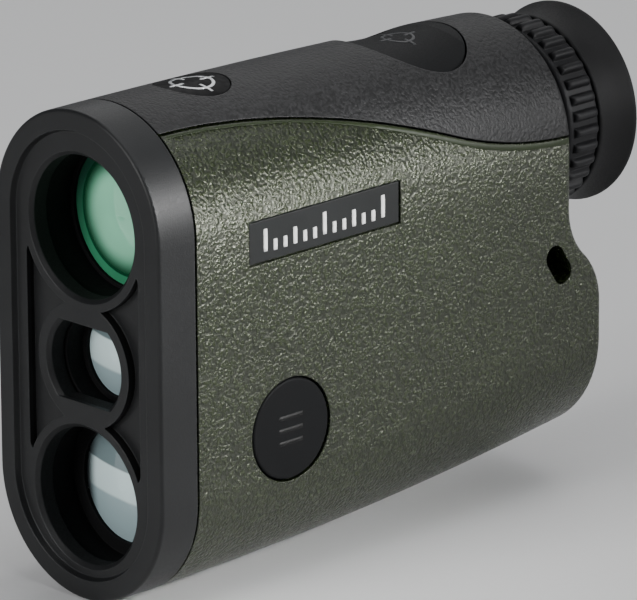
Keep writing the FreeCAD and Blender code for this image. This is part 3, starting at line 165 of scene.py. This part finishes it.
class Graph:
    """A material's node tree, with short ways to add and link nodes."""

    def __init__(self, name):
        self.material = bpy.data.materials.new(name)
        self.material.use_nodes = True
        self.tree = self.material.node_tree
        self.tree.nodes.clear()

    def node(self, kind, settings=None, **inputs):
        """Adds a node. An input is a value or another node's output."""
        node = self.tree.nodes.new("ShaderNode" + kind)
        for key, value in (settings or {}).items():
            setattr(node, key, value)
        for key, value in inputs.items():
            self.feed(node.inputs[key.replace("_", " ")], value)
        return node

    def feed(self, socket, value):
        """Links an output to a socket, or sets the socket's value."""
        if isinstance(value, bpy.types.NodeSocket):
            self.tree.links.new(value, socket)
        else:
            socket.default_value = value

    def calc(self, operation, first, second=0.0, clamp=False):
        """The output of a math node."""
        node = self.node("Math", {"operation": operation, "use_clamp": clamp})
        self.feed(node.inputs[0], first)
        self.feed(node.inputs[1], second)
        return node.outputs[0]

    def ramp(self, value, low, high, out_low=0.0, out_high=1.0):
        """A value mapped from one range to another, with soft ends."""
        node = self.node("MapRange", {"interpolation_type": "SMOOTHSTEP"}, Value=value)
        keys = ("From Min", "From Max", "To Min", "To Max")
        for key, number in zip(keys, (low, high, out_low, out_high)):
            node.inputs[key].default_value = number
        return node.outputs["Result"]

    def blend(self, factor, first, second):
        """Two colours mixed by a factor."""
        node = self.node("Mix", {"data_type": "RGBA"})
        self.feed(node.inputs["Factor"], factor)
        self.feed(node.inputs["A"], (*first, 1.0) if isinstance(first, tuple) else first)
        self.feed(node.inputs["B"], (*second, 1.0) if isinstance(second, tuple) else second)
        return node.outputs["Result"]

    def shade(self, colour, factor):
        """A colour multiplied by a value."""
        node = self.node("Mix", {"data_type": "RGBA", "blend_type": "MULTIPLY"}, Factor=1.0)
        self.feed(node.inputs["A"], colour)
        grey = self.node("CombineColor", Red=factor, Green=factor, Blue=factor).outputs["Color"]
        self.feed(node.inputs["B"], grey)
        return node.outputs["Result"]

    def place(self):
        """Object coordinates: metres in the shared frame, which move with the piece."""
        return self.node("TexCoord").outputs["Object"]

    def noise(self, scale, detail=2.0, distortion=0.0, roughness=0.5):
        """A noise value with a scale in cycles per metre."""
        node = self.node(
            "TexNoise",
            Vector=self.place(),
            Scale=scale,
            Detail=detail,
            Distortion=distortion,
            Roughness=roughness,
        )
        return node.outputs["Fac"]

    def warped(self, amount, scale):
        """Object coordinates pushed about by noise."""
        noise = self.node("TexNoise", Vector=self.place(), Scale=scale, Detail=1.0).outputs["Color"]
        shift = self.node("VectorMath", {"operation": "SCALE"}, Scale=amount)
        self.feed(shift.inputs[0], noise)
        total = self.node("VectorMath", {"operation": "ADD"})
        self.feed(total.inputs[0], self.place())
        self.feed(total.inputs[1], shift.outputs["Vector"])
        return total.outputs["Vector"]

    def along(self, axis):
        """One of the object coordinates, in metres."""
        return self.node("SeparateXYZ", Vector=self.place()).outputs[axis]

    def from_axis(self, height):
        """Distance from an axis along Y, given the height above it."""
        offset = self.node("CombineXYZ", X=self.along("X"), Z=height)
        reach = self.node("VectorMath", {"operation": "LENGTH"})
        self.feed(reach.inputs[0], offset.outputs["Vector"])
        return reach.outputs["Value"]

    def crown(self, start, radius):
        """Height of a side that is rounded over, with this radius, above a level."""
        above = self.calc("MAXIMUM", self.calc("SUBTRACT", self.along("Z"), start), 0.0)
        return self.calc("MULTIPLY", self.calc("MULTIPLY", above, above), -0.5 / radius)

    def hollow_shade_mask(self):
        """A mask for painted shade: 1 on the walls of the bezel's windows and pockets, 0 elsewhere."""
        face_depth, wall_depth = 0.75 * MM, 1.15 * MM
        wall_reach, rim_reach = 14.0 * MM, 14.5 * MM
        deep = self.ramp(self.along("Y"), FRONT + face_depth, FRONT + wall_depth)
        top, bottom = BODY_HEIGHT - HALF_WIDTH, HALF_WIDTH
        above = self.calc("MAXIMUM", self.calc("SUBTRACT", self.along("Z"), top), 0.0)
        below = self.calc("MINIMUM", self.calc("SUBTRACT", self.along("Z"), bottom), 0.0)
        reach = self.from_axis(self.calc("ADD", above, below))
        inner = self.ramp(reach, rim_reach, wall_reach)
        normal = self.node("NewGeometry").outputs["True Normal"]
        facing = self.calc("ABSOLUTE", self.node("SeparateXYZ", Vector=normal).outputs["Y"])
        across = self.ramp(facing, 0.6, 0.4)
        return self.calc("MULTIPLY", self.calc("MULTIPLY", deep, inner), across)

    def edge(self, radius):
        """A softened normal, and a value that rises where the surface bends sharply."""
        soft = self.node("Bevel", {"samples": 4}, Radius=radius).outputs["Normal"]
        flat = self.node("NewGeometry").outputs["Normal"]
        dot = self.node("VectorMath", {"operation": "DOT_PRODUCT"})
        self.feed(dot.inputs[0], soft)
        self.feed(dot.inputs[1], flat)
        return soft, self.ramp(dot.outputs["Value"], 0.995, 0.80)

    def finish(self, shader):
        """Links the shader to the output and returns the material."""
        output = self.node("OutputMaterial")
        self.tree.links.new(shader.outputs[0], output.inputs["Surface"])
        return self.material


def moulded(
    name,
    colour,
    roughness,
    grain,
    depth,
    wear_and_highlight=1.5,
    mottle=0.12,
    coat=0.0,
    speckle=0.0,
    gloss=0.3,
    paint_hollow_shade=False,
):
    """Moulded plastic or rubber: fine grain, slight mottling and softened edges, lightened by wear and
    by a painted highlight.

    grain is in cycles per metre and depth is the grain's height. wear_and_highlight, mottle and speckle
    scale the colour at edges (wear and painted highlight), over large patches and over single grains.
    paint_hollow_shade blackens the walls of bores as painted shade.
    """
    g = Graph(name)
    normal, edge = g.edge(MOULDED_EDGE)
    cloud = g.noise(90.0, 3.0)
    speck = g.noise(grain, 2.0)
    dark = tuple(c * (1 - mottle) for c in colour)
    light = tuple(c * (1 + mottle) for c in colour)
    # Edges are lightened, partly as wear and partly as a painted highlight.
    wear_and_highlight_colour = tuple(min(c * wear_and_highlight + 0.003, 1.0) for c in colour)
    field = g.blend(g.ramp(cloud, *NOISE_SPAN), dark, light)
    if speckle:
        field = g.shade(field, g.ramp(speck, 0.35, 0.68, 1 - speckle, 1 + speckle))
    base = g.blend(edge, field, wear_and_highlight_colour)
    grained = g.ramp(speck, *NOISE_SPAN, roughness - 0.05, roughness + 0.07)
    rough = g.calc("ADD", grained, g.ramp(edge, 0, 1, 0.0, -0.05))
    # Painted shade: the walls of bores and pockets turn black.
    if paint_hollow_shade:
        shaded_wall = g.hollow_shade_mask()
        base = g.blend(shaded_wall, base, PAINTED_HOLLOW_SHADE)
        rough = g.calc("ADD", rough, g.calc("MULTIPLY", shaded_wall, 0.3), True)
    bump = g.node("Bump", Strength=1.0, Distance=depth, Height=speck, Normal=normal)
    shader = g.node("BsdfPrincipled", Base_Color=base, Roughness=rough, Normal=bump.outputs["Normal"])
    shader.inputs["Coat Weight"].default_value = coat
    shader.inputs["Coat Roughness"].default_value = 0.12
    shader.inputs["Specular IOR Level"].default_value = gloss
    return g.finish(shader)


def pebbled(name, light, dark, roughness, cell, depth, border):
    """Leather-like pebbling of a cell size, which fades out in a smooth border along every edge, with
    painted shade in its hollows.
    """
    warp, warp_scale, ridge_share = 0.5 * MM, 1400.0, 0.9
    g = Graph(name)
    _, edge = g.edge(border)
    soft_normal, _ = g.edge(0.2 * MM)
    where = g.warped(warp, warp_scale)
    cells = g.node(
        "TexVoronoi",
        {"feature": "SMOOTH_F1"},
        Vector=where,
        Scale=1 / cell,
        Smoothness=0.25,
        Randomness=1.0,
    )
    grains = cells.outputs["Distance"]
    ridges = g.noise(1.3 / cell, 3.0, 0.8, 0.6)
    height = g.calc("ADD", g.calc("MULTIPLY", grains, -1.0), g.calc("MULTIPLY", ridges, ridge_share))
    inside = g.calc("SUBTRACT", 1.0, edge, True)
    # Painted shade: the low places between pebbles take the dark colour, the tops the light one.
    hollow = g.ramp(height, -0.25, 0.35)
    cloud = g.ramp(g.noise(60.0, 2.0), *NOISE_SPAN, 0.92, 1.08)
    base = g.shade(g.blend(hollow, dark, light), cloud)
    rough = g.ramp(height, -0.2, 0.4, roughness + 0.14, roughness - 0.04)
    relief = g.calc("MULTIPLY", g.calc("MULTIPLY", height, inside), depth)
    total = g.calc("ADD", relief, g.crown(CROWN_START, CROWN_RADIUS))
    bump = g.node("Bump", Strength=1.0, Distance=1.0, Height=total, Normal=soft_normal)
    shader = g.node("BsdfPrincipled", Base_Color=base, Roughness=rough, Normal=bump.outputs["Normal"])
    shader.inputs["Specular IOR Level"].default_value = 0.65
    shader.inputs["Specular Tint"].default_value = (0.96, 1.0, 0.84, 1.0)
    return g.finish(shader)


def lens_coat(g, painted_light):
    """A polished, slightly dusty surface over a lens's painted light."""
    dust = g.ramp(g.noise(2500.0, 2.0), 0.62, 0.8, 0.04, 0.09)
    shader = g.node("BsdfPrincipled", Base_Color=painted_light, Roughness=dust)
    shader.inputs["Coat Weight"].default_value = 0.6
    shader.inputs["Coat Roughness"].default_value = 0.03
    shader.inputs["Specular IOR Level"].default_value = 0.5
    return g.finish(shader)


def coated_green(name):
    """Green coating with painted light: a painted reflection in a bright middle, painted shade in a
    dark zone round it, and a ground edge painted lighter below than above. Painted shade dims it
    towards the rear.
    """
    bright_radius, dark_radius = 5.2 * MM, 9.0 * MM
    ground_edge = (9.15 * MM, 9.3 * MM)
    # Painted shade that deepens towards the rear of the lens.
    rear_shade_span, rear_shade_factor = (0.0, 20 * MM), 0.22
    g = Graph(name)
    radius = g.from_axis(g.calc("SUBTRACT", g.along("Z"), OBJECTIVE_HEIGHT))
    cloud = g.ramp(g.noise(140.0, 1.0), *NOISE_SPAN, 0.85, 1.0)
    cloud_and_rear_shade = g.calc("MULTIPLY", cloud, g.ramp(g.along("Y"), *rear_shade_span, 1.0, rear_shade_factor))
    # Painted reflection: bright in the middle, going to dark green round it.
    middle = g.ramp(radius, dark_radius, bright_radius)
    painted_light = g.blend(middle, (0.004, 0.075, 0.030), (0.29, 0.72, 0.48))
    # The ground edge is painted lighter below and darker above, as light and shade.
    ring = g.blend(g.ramp(g.along("Z"), 45 * MM, 62 * MM), (0.045, 0.30, 0.15), (0.02, 0.10, 0.06))
    return lens_coat(g, g.shade(g.blend(g.ramp(radius, *ground_edge), painted_light, ring), cloud_and_rear_shade))


def coated_blue(name):
    """Pale blue coating with painted reflections in three bands, which repeat from the middle window to
    the bottom one, and painted shade on its -X side.
    """
    lower_edge, upper_edge = (-2.6 * MM, -2.0 * MM), (2.0 * MM, 2.3 * MM)
    shaded_side, tilt = (-8.6 * MM, -5.8 * MM), 0.08
    g = Graph(name)
    apart = (EMITTER_HEIGHT - RECEIVER_HEIGHT) / 2
    slope = g.calc("MULTIPLY", g.along("X"), tilt)
    level = g.calc("ADD", g.calc("SUBTRACT", g.along("Z"), RECEIVER_HEIGHT), slope)
    wrapped = g.node("Math", {"operation": "WRAP"})
    for socket, value in zip(wrapped.inputs, (level, apart, -apart)):
        g.feed(socket, value)
    level = wrapped.outputs[0]
    # Painted reflections: a grey band, a bright band above it, then a dark band on top.
    lower = g.blend(g.ramp(level, *lower_edge), (0.34, 0.45, 0.47), (0.66, 0.82, 0.82))
    bands = g.blend(g.ramp(level, *upper_edge), lower, (0.17, 0.23, 0.24))
    # Painted shade: the lens goes dark towards -X.
    across = g.ramp(g.along("X"), *shaded_side)
    return lens_coat(g, g.blend(across, (0.018, 0.022, 0.024), bands))


def clear_glass(name, tint):
    """Polished glass with a trace of dust."""
    g = Graph(name)
    dust = g.ramp(g.noise(1800.0, 2.0), 0.55, 0.8, 0.01, 0.05)
    shader = g.node("BsdfPrincipled", Base_Color=(*tint, 1.0), Roughness=dust)
    shader.inputs["Transmission Weight"].default_value = 1.0
    shader.inputs["IOR"].default_value = 1.52
    return g.finish(shader)


def metal(name, colour, roughness):
    """Metal with fine brushing and slightly polished edges."""
    g = Graph(name)
    normal, edge = g.edge(METAL_EDGE)
    stretch = g.node("Mapping", Vector=g.place(), Scale=(1.0, 0.08, 1.0))
    brushed = g.node("TexNoise", Vector=stretch.outputs["Vector"], Scale=2600.0, Detail=2.0)
    lines = brushed.outputs["Fac"]
    base = g.blend(edge, colour, tuple(min(c * 1.3 + 0.02, 1.0) for c in colour))
    rough = g.ramp(lines, *NOISE_SPAN, roughness - 0.06, roughness + 0.08)
    bump = g.node("Bump", Strength=0.4, Distance=0.01 * MM, Height=lines, Normal=normal)
    shader = g.node("BsdfPrincipled", Base_Color=base, Roughness=rough, Normal=bump.outputs["Normal"])
    shader.inputs["Metallic"].default_value = 1.0
    return g.finish(shader)


def make_materials():
    """One material for each of the record's slots, and a few for the seam lips and the marks."""
    return {
        "side_green": pebbled(
            "olive_armour",
            # light colours the pebble tops; dark is painted shade for the hollows.
            light=(0.016, 0.024, 0.006),
            dark=(0.002, 0.004, 0.001),
            roughness=0.19,
            cell=0.54 * MM,
            depth=0.14 * MM,
            border=0.50 * MM,
        ),
        "lip_green": moulded("olive_smooth", (0.012, 0.019, 0.005), 0.42, 3800.0, 0.01 * MM),
        "top_grey": moulded(
            "charcoal_grain",
            (0.014, 0.014, 0.0145),
            0.48,
            1900.0,
            0.20 * MM,
            mottle=0.1,
            speckle=0.5,
            gloss=0.25,
        ),
        "bezel_grey": moulded(
            "satin_bezel",
            (0.009, 0.0095, 0.010),
            0.44,
            4200.0,
            0.02 * MM,
            # A strong painted highlight on the bezel's edges, over their wear.
            wear_and_highlight=3.2,
            speckle=0.15,
            paint_hollow_shade=True,
        ),
        "black_rubber": moulded(
            "black_rubber", (0.010, 0.010, 0.0105), 0.58, 4200.0, 0.012 * MM, gloss=0.15
        ),
        "ring_black": moulded("ring_black", (0.008, 0.008, 0.009), 0.50, 4600.0, 0.012 * MM, gloss=0.2),
        "button_grey": moulded(
            "button_satin",
            (0.006, 0.0063, 0.0068),
            0.56,
            5200.0,
            0.010 * MM,
            mottle=0.05,
            gloss=0.10,
        ),
        "badge_black": moulded(
            "badge_gloss", (0.002, 0.002, 0.0022), 0.42, 900.0, 0.002 * MM, gloss=0.04
        ),
        "plate_grey": moulded("plate_enamel", (0.012, 0.013, 0.013), 0.38, 2600.0, 0.006 * MM),
        "barrel_black": moulded(
            "barrel_black", (0.0025, 0.0025, 0.0028), 0.75, 3000.0, 0.01 * MM, gloss=0.15
        ),
        "frame_black": moulded("frame_black", (0.012, 0.012, 0.013), 0.62, 3000.0, 0.02 * MM),
        "coated_green": coated_green("green_coating_painted_light"),
        "coated_blue": coated_blue("blue_coating_painted_light"),
        "clear_glass": clear_glass("clear_glass", (0.95, 0.97, 0.98)),
        "display_glass": clear_glass("display_glass", (0.75, 0.78, 0.78)),
        "board_green": moulded("solder_mask", (0.010, 0.070, 0.030), 0.30, 1500.0, 0.01 * MM, coat=0.4),
        "chip_black": moulded("chip_epoxy", (0.015, 0.015, 0.016), 0.5, 3000.0, 0.01 * MM),
        "cable_amber": moulded("amber_film", (0.36, 0.15, 0.02), 0.25, 900.0, 0.004 * MM, coat=0.6),
        "screw_steel": metal("screw_steel", (0.12, 0.12, 0.13), 0.38),
        "spring_steel": metal("spring_steel", (0.55, 0.56, 0.58), 0.25),
        "contact_brass": metal("contact_brass", (0.75, 0.56, 0.25), 0.28),
        "battery_wrap": moulded("battery_wrap", (0.05, 0.07, 0.12), 0.35, 1200.0, 0.004 * MM, coat=0.5),
        "mark_white": moulded(
            "white_print", (0.80, 0.80, 0.78), 0.45, 4000.0, 0.006 * MM, wear_and_highlight=1.0, mottle=0.03
        ),
        "mark_black": moulded("black_inlay", (0.004, 0.004, 0.004), 0.5, 4000.0, 0.006 * MM, wear_and_highlight=1.0),
        "mark_grey": moulded("grey_relief", (0.030, 0.031, 0.033), 0.38, 4000.0, 0.006 * MM, wear_and_highlight=1.2),
        "mark_silver": metal("silver_mark", (0.72, 0.73, 0.74), 0.30),
    }


def dress_nodes(materials):
    """Gives every CAD node the material of its slot."""
    slots = {part["node"]: part["material_slot"] for part in frame["record"]["subparts"]}
    for name, node in frame["nodes"].items():
        for slot in node.material_slots:
            slot.material = materials[slots[name]]


# ---- visible pieces


def build_seam_lips(materials):
    """The smooth raised border along the seam of each side cover, which widens towards the rear."""
    start, end, steps = 7.3 * MM, 81.9 * MM, 120
    seam_gap = 0.20 * MM
    narrow_mm, widening_mm = 0.35, 0.60
    widens_at = widens_over = 30 * MM
    # Across the lip, from its upper foot to its lower one: part of its width, and lift in mm.
    section = ((0.0, -0.12), (0.06, 0.03), (0.22, 0.085), (0.78, 0.085), (0.94, 0.03), (1.0, -0.12))
    fade_rows = 4
    for side, name in ((1, "left"), (-1, "right")):
        rows = []
        for k in range(steps + 1):
            station = start + (end - start) * k / steps
            growth = min(max((station - widens_at) / widens_over, 0.0), 1.0)
            width = (narrow_mm + widening_mm * growth * growth * (3 - 2 * growth)) * MM
            taper = min(k, steps - k, fade_rows) / fade_rows
            row = []
            for part, lift in section:
                z = seam_height(station) - seam_gap - width * part
                inset = -lift * MM * taper if lift > 0 else -lift * MM
                row.append((side * side_x(station, z, inset), FRONT + station, z))
            rows.append(row)
        points = [p for row in rows for p in row]
        count = len(section)
        faces = grid_faces(len(rows), count, close_columns=True)
        faces.append(list(range(count))[::-1])
        faces.append([len(points) - count + k for k in range(count)])
        if side > 0:
            faces = [f[::-1] for f in faces]
        add_piece(f"seam_lip_{name}", points, faces, "housing", materials["lip_green"])


def build_diopter_ring(materials):
    """The ribbed ring: each rib is a rounded bar that fades into the ring at both ends."""
    ribs, rib_height, rib_half = 36, 0.92 * MM, 0.70 * MM
    steps_per_rib, rib_stations = 18, 30
    start, end = 86.3 * MM, 91.1 * MM
    bore, flange, root = 12.08 * MM, 13.1 * MM, 13.9 * MM
    ring_front, ring_rear, corner = 85.35 * MM, 91.6 * MM, 0.8 * MM
    # Exponents that make a rib squarish: across it, and along it towards its ends.
    flank_power, crown_power = 2.6, 1 / 2.2
    end_power, fade_power = 7, 0.5

    def radius_at(radius, station, angle):
        if radius < root - 0.1 * MM:
            return radius
        pitch = 2 * math.pi / ribs
        off = abs((angle + pitch / 2) % pitch - pitch / 2) * radius / rib_half
        across = max(1 - off**flank_power, 0.0) ** crown_power
        middle, half = (start + end) / 2, (end - start) / 2
        along = max(1 - abs((station - middle) / half) ** end_power, 0.0) ** fade_power
        return radius + rib_height * across * along

    profile = [(bore, ring_front), (flange, ring_front)]
    profile += arc_points((flange, ring_front + corner), corner, -80, 0, 6)
    for k in range(rib_stations + 1):
        part = 0.5 - 0.5 * math.cos(math.pi * k / rib_stations)
        profile.append((root, start + (end - start) * part))
    profile += [(root, 91.25 * MM), (13.75 * MM, 91.5 * MM), (13.5 * MM, ring_rear), (bore, ring_rear)]
    ring = lathe(
        "diopter_grip",
        profile,
        EYEPIECE_HEIGHT,
        ribs * steps_per_rib,
        "diopter",
        materials["ring_black"],
        radius_at,
    )
    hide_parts("diopter_ring")


def build_eyecup(materials):
    """The rubber eyecup: collar, hollow flank, rounded lip and a stepped inside."""
    bore, collar_front, segments = 9.6 * MM, 91.65 * MM, 256
    profile = [(bore, collar_front), (13.9 * MM, collar_front)]
    profile += arc_points((13.9 * MM, 92.0 * MM), 0.35 * MM, -90, 0, 4)
    flank_start, flank_end, flank_steps = 92.3 * MM, 97.9 * MM, 24
    waist_mm, flare_mm, hollow_mm = 14.25, 0.95, 0.12
    for k in range(flank_steps + 1):
        t = k / flank_steps
        radius = (waist_mm + flare_mm * t**1.7 - hollow_mm * math.sin(math.pi * t)) * MM
        profile.append((radius, flank_start + (flank_end - flank_start) * t))
    profile += arc_points((14.5 * MM, 98.1 * MM), 0.7 * MM, 10, 170, 12)
    inside_start, inside_end, inside_steps = (13.7 * MM, 97.7 * MM), (11.1 * MM, 94.0 * MM), 21
    ring_depth, rings = 0.09 * MM, 3
    for k in range(1, inside_steps + 1):
        t = k / inside_steps
        step = ring_depth * math.sin(2 * rings * math.pi * t)
        radius = inside_start[0] + (inside_end[0] - inside_start[0]) * t**1.25 + step
        profile.append((radius, inside_start[1] + (inside_end[1] - inside_start[1]) * t))
    profile += [(10.7 * MM, 93.65 * MM), (10.3 * MM, 93.6 * MM)]
    profile += [(9.75 * MM, 93.6 * MM), (bore, 93.45 * MM)]
    cup = lathe(
        "eyecup_rubber",
        profile,
        EYEPIECE_HEIGHT,
        segments,
        "diopter",
        materials["black_rubber"],
    )
    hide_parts("eyecup")


# ---- marks


def drop_onto(node, points, direction, lift):
    """Moves each point along a direction onto a CAD node's surface, then back by its own lift."""
    clearance = 20 * MM
    work = bmesh.new()
    work.from_mesh(frame["nodes"][node].data)
    tree = BVHTree.FromBMesh(work)
    work.free()
    direction = Vector(direction)
    placed = []
    for point, height in zip(points, lift):
        hit = tree.ray_cast(Vector(point) - direction * clearance, direction)[0]
        if hit is None:
            raise RuntimeError(f"a mark reaches past the edge of {node}")
        placed.append(hit - direction * height)
    return placed


def mark_offsets(width):
    """Across a mark's stroke: foot, shoulder, shoulder, foot."""
    foot, shoulder = 0.5 * width, 0.38 * width
    return (-foot, -shoulder, shoulder, foot)


def ring_outline(radius, width, steps=96):
    """Rows of a flat ring, in the plane of a mark. The second value says that they close."""
    rows = []
    for k in range(steps):
        angle = math.radians(360 * k / steps)
        radii = [radius + offset for offset in mark_offsets(width)]
        rows.append([(r * math.cos(angle), r * math.sin(angle)) for r in radii])
    return rows, True


def bar_outline(start, end, width, steps=10):
    """Rows of a flat bar from start to end, in the plane of a mark. They don't close."""
    start, end = Vector(start), Vector(end)
    across = Vector((-(end - start).y, (end - start).x)).normalized()
    rows = []
    for k in range(steps + 1):
        middle = start.lerp(end, k / steps)
        rows.append([tuple(middle + across * offset) for offset in mark_offsets(width)])
    return rows, False


def reticle(radius, width, bar_start, bar_end):
    """A ring that four short bars cross, in the plane of a mark."""
    bar_width = 0.5 * MM
    strokes = [ring_outline(radius, width)]
    for angle in (0, 90, 180, 270):
        turn = Vector((math.cos(math.radians(angle)), math.sin(math.radians(angle))))
        strokes.append(bar_outline(turn * bar_start, turn * bar_end, bar_width))
    return strokes


def relief(name, node, strokes, to_space, direction, height, body, slot, material):
    """Raised strokes on a node's surface. to_space turns a mark's plane into points in space."""
    points, lifts, faces = [], [], []
    sink = -0.03 * MM
    for rows, closed in strokes:
        start = len(points)
        last = len(rows) - 1
        for number, row in enumerate(rows):
            at_end = not closed and number in (0, last)
            for place, lift in zip(row, (sink, height, height, sink)):
                points.append(to_space(*place))
                lifts.append(sink if at_end else lift)
        faces += grid_faces(len(rows), 4, closed, True, start)
        if not closed:
            faces.append([start + k for k in (3, 2, 1, 0)])
            faces.append([start + last * 4 + k for k in range(4)])
    piece = add_piece(name, drop_onto(node, points, direction, lifts), faces, body, material)
    make_outward(piece)


def make_outward(piece):
    """Turns every face of a closed piece outwards."""
    work = bmesh.new()
    work.from_mesh(piece.data)
    bmesh.ops.recalc_face_normals(work, faces=work.faces)
    work.to_mesh(piece.data)
    work.free()


def build_plate_scale(materials):
    """The scale of ticks on the side plate."""
    low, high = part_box("name_plate")
    middle_y, middle_z = (low.y + high.y) / 2, (low.z + high.z) / 2
    face = high.x
    ticks, pitch, tick_width = 13, 1.95 * MM, 0.85 * MM
    foot = middle_z - 2.0 * MM
    strokes = []
    for k in range(ticks):
        y = middle_y + (k - (ticks - 1) / 2) * pitch
        tall = (4.0 if k % 6 == 0 else 3.0 if k % 3 == 0 else 2.0) * MM
        strokes.append(bar_outline((y, foot), (y, foot + tall), tick_width, 4))
    relief(
        "plate_scale",
        "name_plate",
        strokes,
        lambda y, z: (face, y, z),
        (-1, 0, 0),
        0.06 * MM,
        "housing",
        "plate_grey",
        materials["mark_white"],
    )


def build_menu_bars(materials):
    """The three bars on the menu button."""
    low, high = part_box("menu_button")
    middle_y, middle_z = (low.y + high.y) / 2, (low.z + high.z) / 2
    face = high.x
    reach, pitch_mm, bar_width = 2.6 * MM, 1.9, 0.8 * MM
    strokes = []
    for shift in (-pitch_mm, 0.0, pitch_mm):
        z = middle_z + shift * MM
        strokes.append(bar_outline((middle_y - reach, z), (middle_y + reach, z), bar_width))
    relief(
        "menu_mark",
        "menu_button",
        strokes,
        lambda y, z: (face, y, z),
        (-1, 0, 0),
        0.03 * MM,
        "menu_key",
        "button_grey",
        materials["mark_black"],
    )


def build_top_mark(name, node, strokes, height, body, slot, material):
    """A mark on the upper face of a node, about the node's middle."""
    low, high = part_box(node)
    y, top = (low.y + high.y) / 2, high.z
    relief(name, node, strokes, lambda u, v: (u, y + v, top), (0, 0, -1), height, body, slot, material)


def build_marks(materials):
    """The generic marks: a scale and bars on the side, reticles on the badge and measure button."""
    build_plate_scale(materials)
    badge = reticle(3.1 * MM, 0.55 * MM, 1.5 * MM, 4.4 * MM)
    measure = reticle(2.3 * MM, 0.5 * MM, 1.2 * MM, 3.7 * MM)
    build_top_mark(
        "badge_mark", "top_badge", badge, 0.05 * MM, "housing", "badge_black", materials["mark_silver"]
    )
    build_top_mark(
        "measure_mark",
        "measure_button",
        measure,
        0.10 * MM,
        "measure_key",
        "button_grey",
        materials["mark_grey"],
    )
    build_menu_bars(materials)


# ---- studio and camera


def add_light(name, place, target, size, power, spread=180):
    """A soft rectangular light that faces a target, with the spread of its beam in degrees."""
    data = bpy.data.lights.new(name, "AREA")
    data.shape = "RECTANGLE"
    data.size, data.size_y = size
    data.energy = power
    data.spread = math.radians(spread)
    light = bpy.data.objects.new(name, data)
    light.location = place
    light.rotation_euler = (Vector(target) - Vector(place)).to_track_quat("-Z", "Y").to_euler()
    bpy.context.collection.objects.link(light)


def build_studio():
    """A pale floor, a pale sky and five soft lights."""
    g = Graph("pale_floor")
    tone = g.blend(g.ramp(g.noise(6.0, 3.0), *NOISE_SPAN), (0.74, 0.74, 0.74), (0.77, 0.77, 0.77))
    bump = g.node("Bump", Strength=0.1, Distance=0.2 * MM, Height=g.noise(900.0))
    shader = g.node("BsdfPrincipled", Base_Color=tone, Roughness=0.7, Normal=bump.outputs["Normal"])
    material = g.finish(shader)
    reach, steps, level = 3.0, 24, -0.1 * MM
    marks = [reach * (2 * k / steps - 1) for k in range(steps + 1)]
    points = [(x, y, level) for x in marks for y in marks]
    mesh = bpy.data.meshes.new("floor")
    mesh.from_pydata(points, [], [f[::-1] for f in grid_faces(steps + 1, steps + 1)])
    mesh.materials.append(material)
    floor = bpy.data.objects.new("floor", mesh)
    bpy.context.collection.objects.link(floor)

    world = bpy.data.worlds.new("studio")
    world.use_nodes = True
    background = world.node_tree.nodes["Background"]
    background.inputs["Color"].default_value = (0.80, 0.84, 0.90, 1.0)
    background.inputs["Strength"].default_value = 0.14
    bpy.context.scene.world = world

    middle = (0.0, 0.0, 0.036)
    add_light("key", (0.66, 0.60, 0.30), (0.0, 0.0, 0.058), (0.20, 0.12), 3.2)
    add_light("near", (0.25, 0.06, 0.14), (0.015, -0.035, 0.060), (0.06, 0.04), 0.08, 45)
    add_light("front", (-0.10, -1.1, 0.42), middle, (0.5, 0.5), 9.0)
    add_light("above", (0.10, 0.20, 1.2), middle, (0.9, 0.9), 5.5)
    add_light("rim", (-0.6, 0.7, 0.6), middle, (0.8, 0.4), 1.6)


def build_camera():
    """The photograph's viewpoint, with its roll and framing."""
    azimuth, elevation, roll = math.radians(45.652), math.radians(17.570), math.radians(-0.3565)
    back = Vector(
        (
            math.sin(azimuth) * math.cos(elevation),
            -math.cos(azimuth) * math.cos(elevation),
            math.sin(elevation),
        )
    )
    right = Vector((math.cos(azimuth), math.sin(azimuth), 0.0))
    up = back.cross(right)
    turned_right = right * math.cos(roll) + up * math.sin(roll)
    turned_up = up * math.cos(roll) - right * math.sin(roll)
    data = bpy.data.cameras.new("camera")
    data.sensor_width = 36.0
    data.lens = 402.15
    data.shift_x = -0.0129
    data.shift_y = 0.0096
    data.clip_start, data.clip_end = 0.05, 10.0
    camera = bpy.data.objects.new("camera", data)
    turned = Matrix((turned_right, turned_up, back)).transposed()
    place = Vector((0.70994, FRONT - 0.64540, 0.34719))
    camera.matrix_world = Matrix.Translation(place) @ turned.to_4x4()
    bpy.context.collection.objects.link(camera)
    bpy.context.scene.camera = camera


MATERIALS = make_materials()
dress_nodes(MATERIALS)
build_seam_lips(MATERIALS)
build_diopter_ring(MATERIALS)
build_eyecup(MATERIALS)
build_marks(MATERIALS)
build_studio()
build_camera()
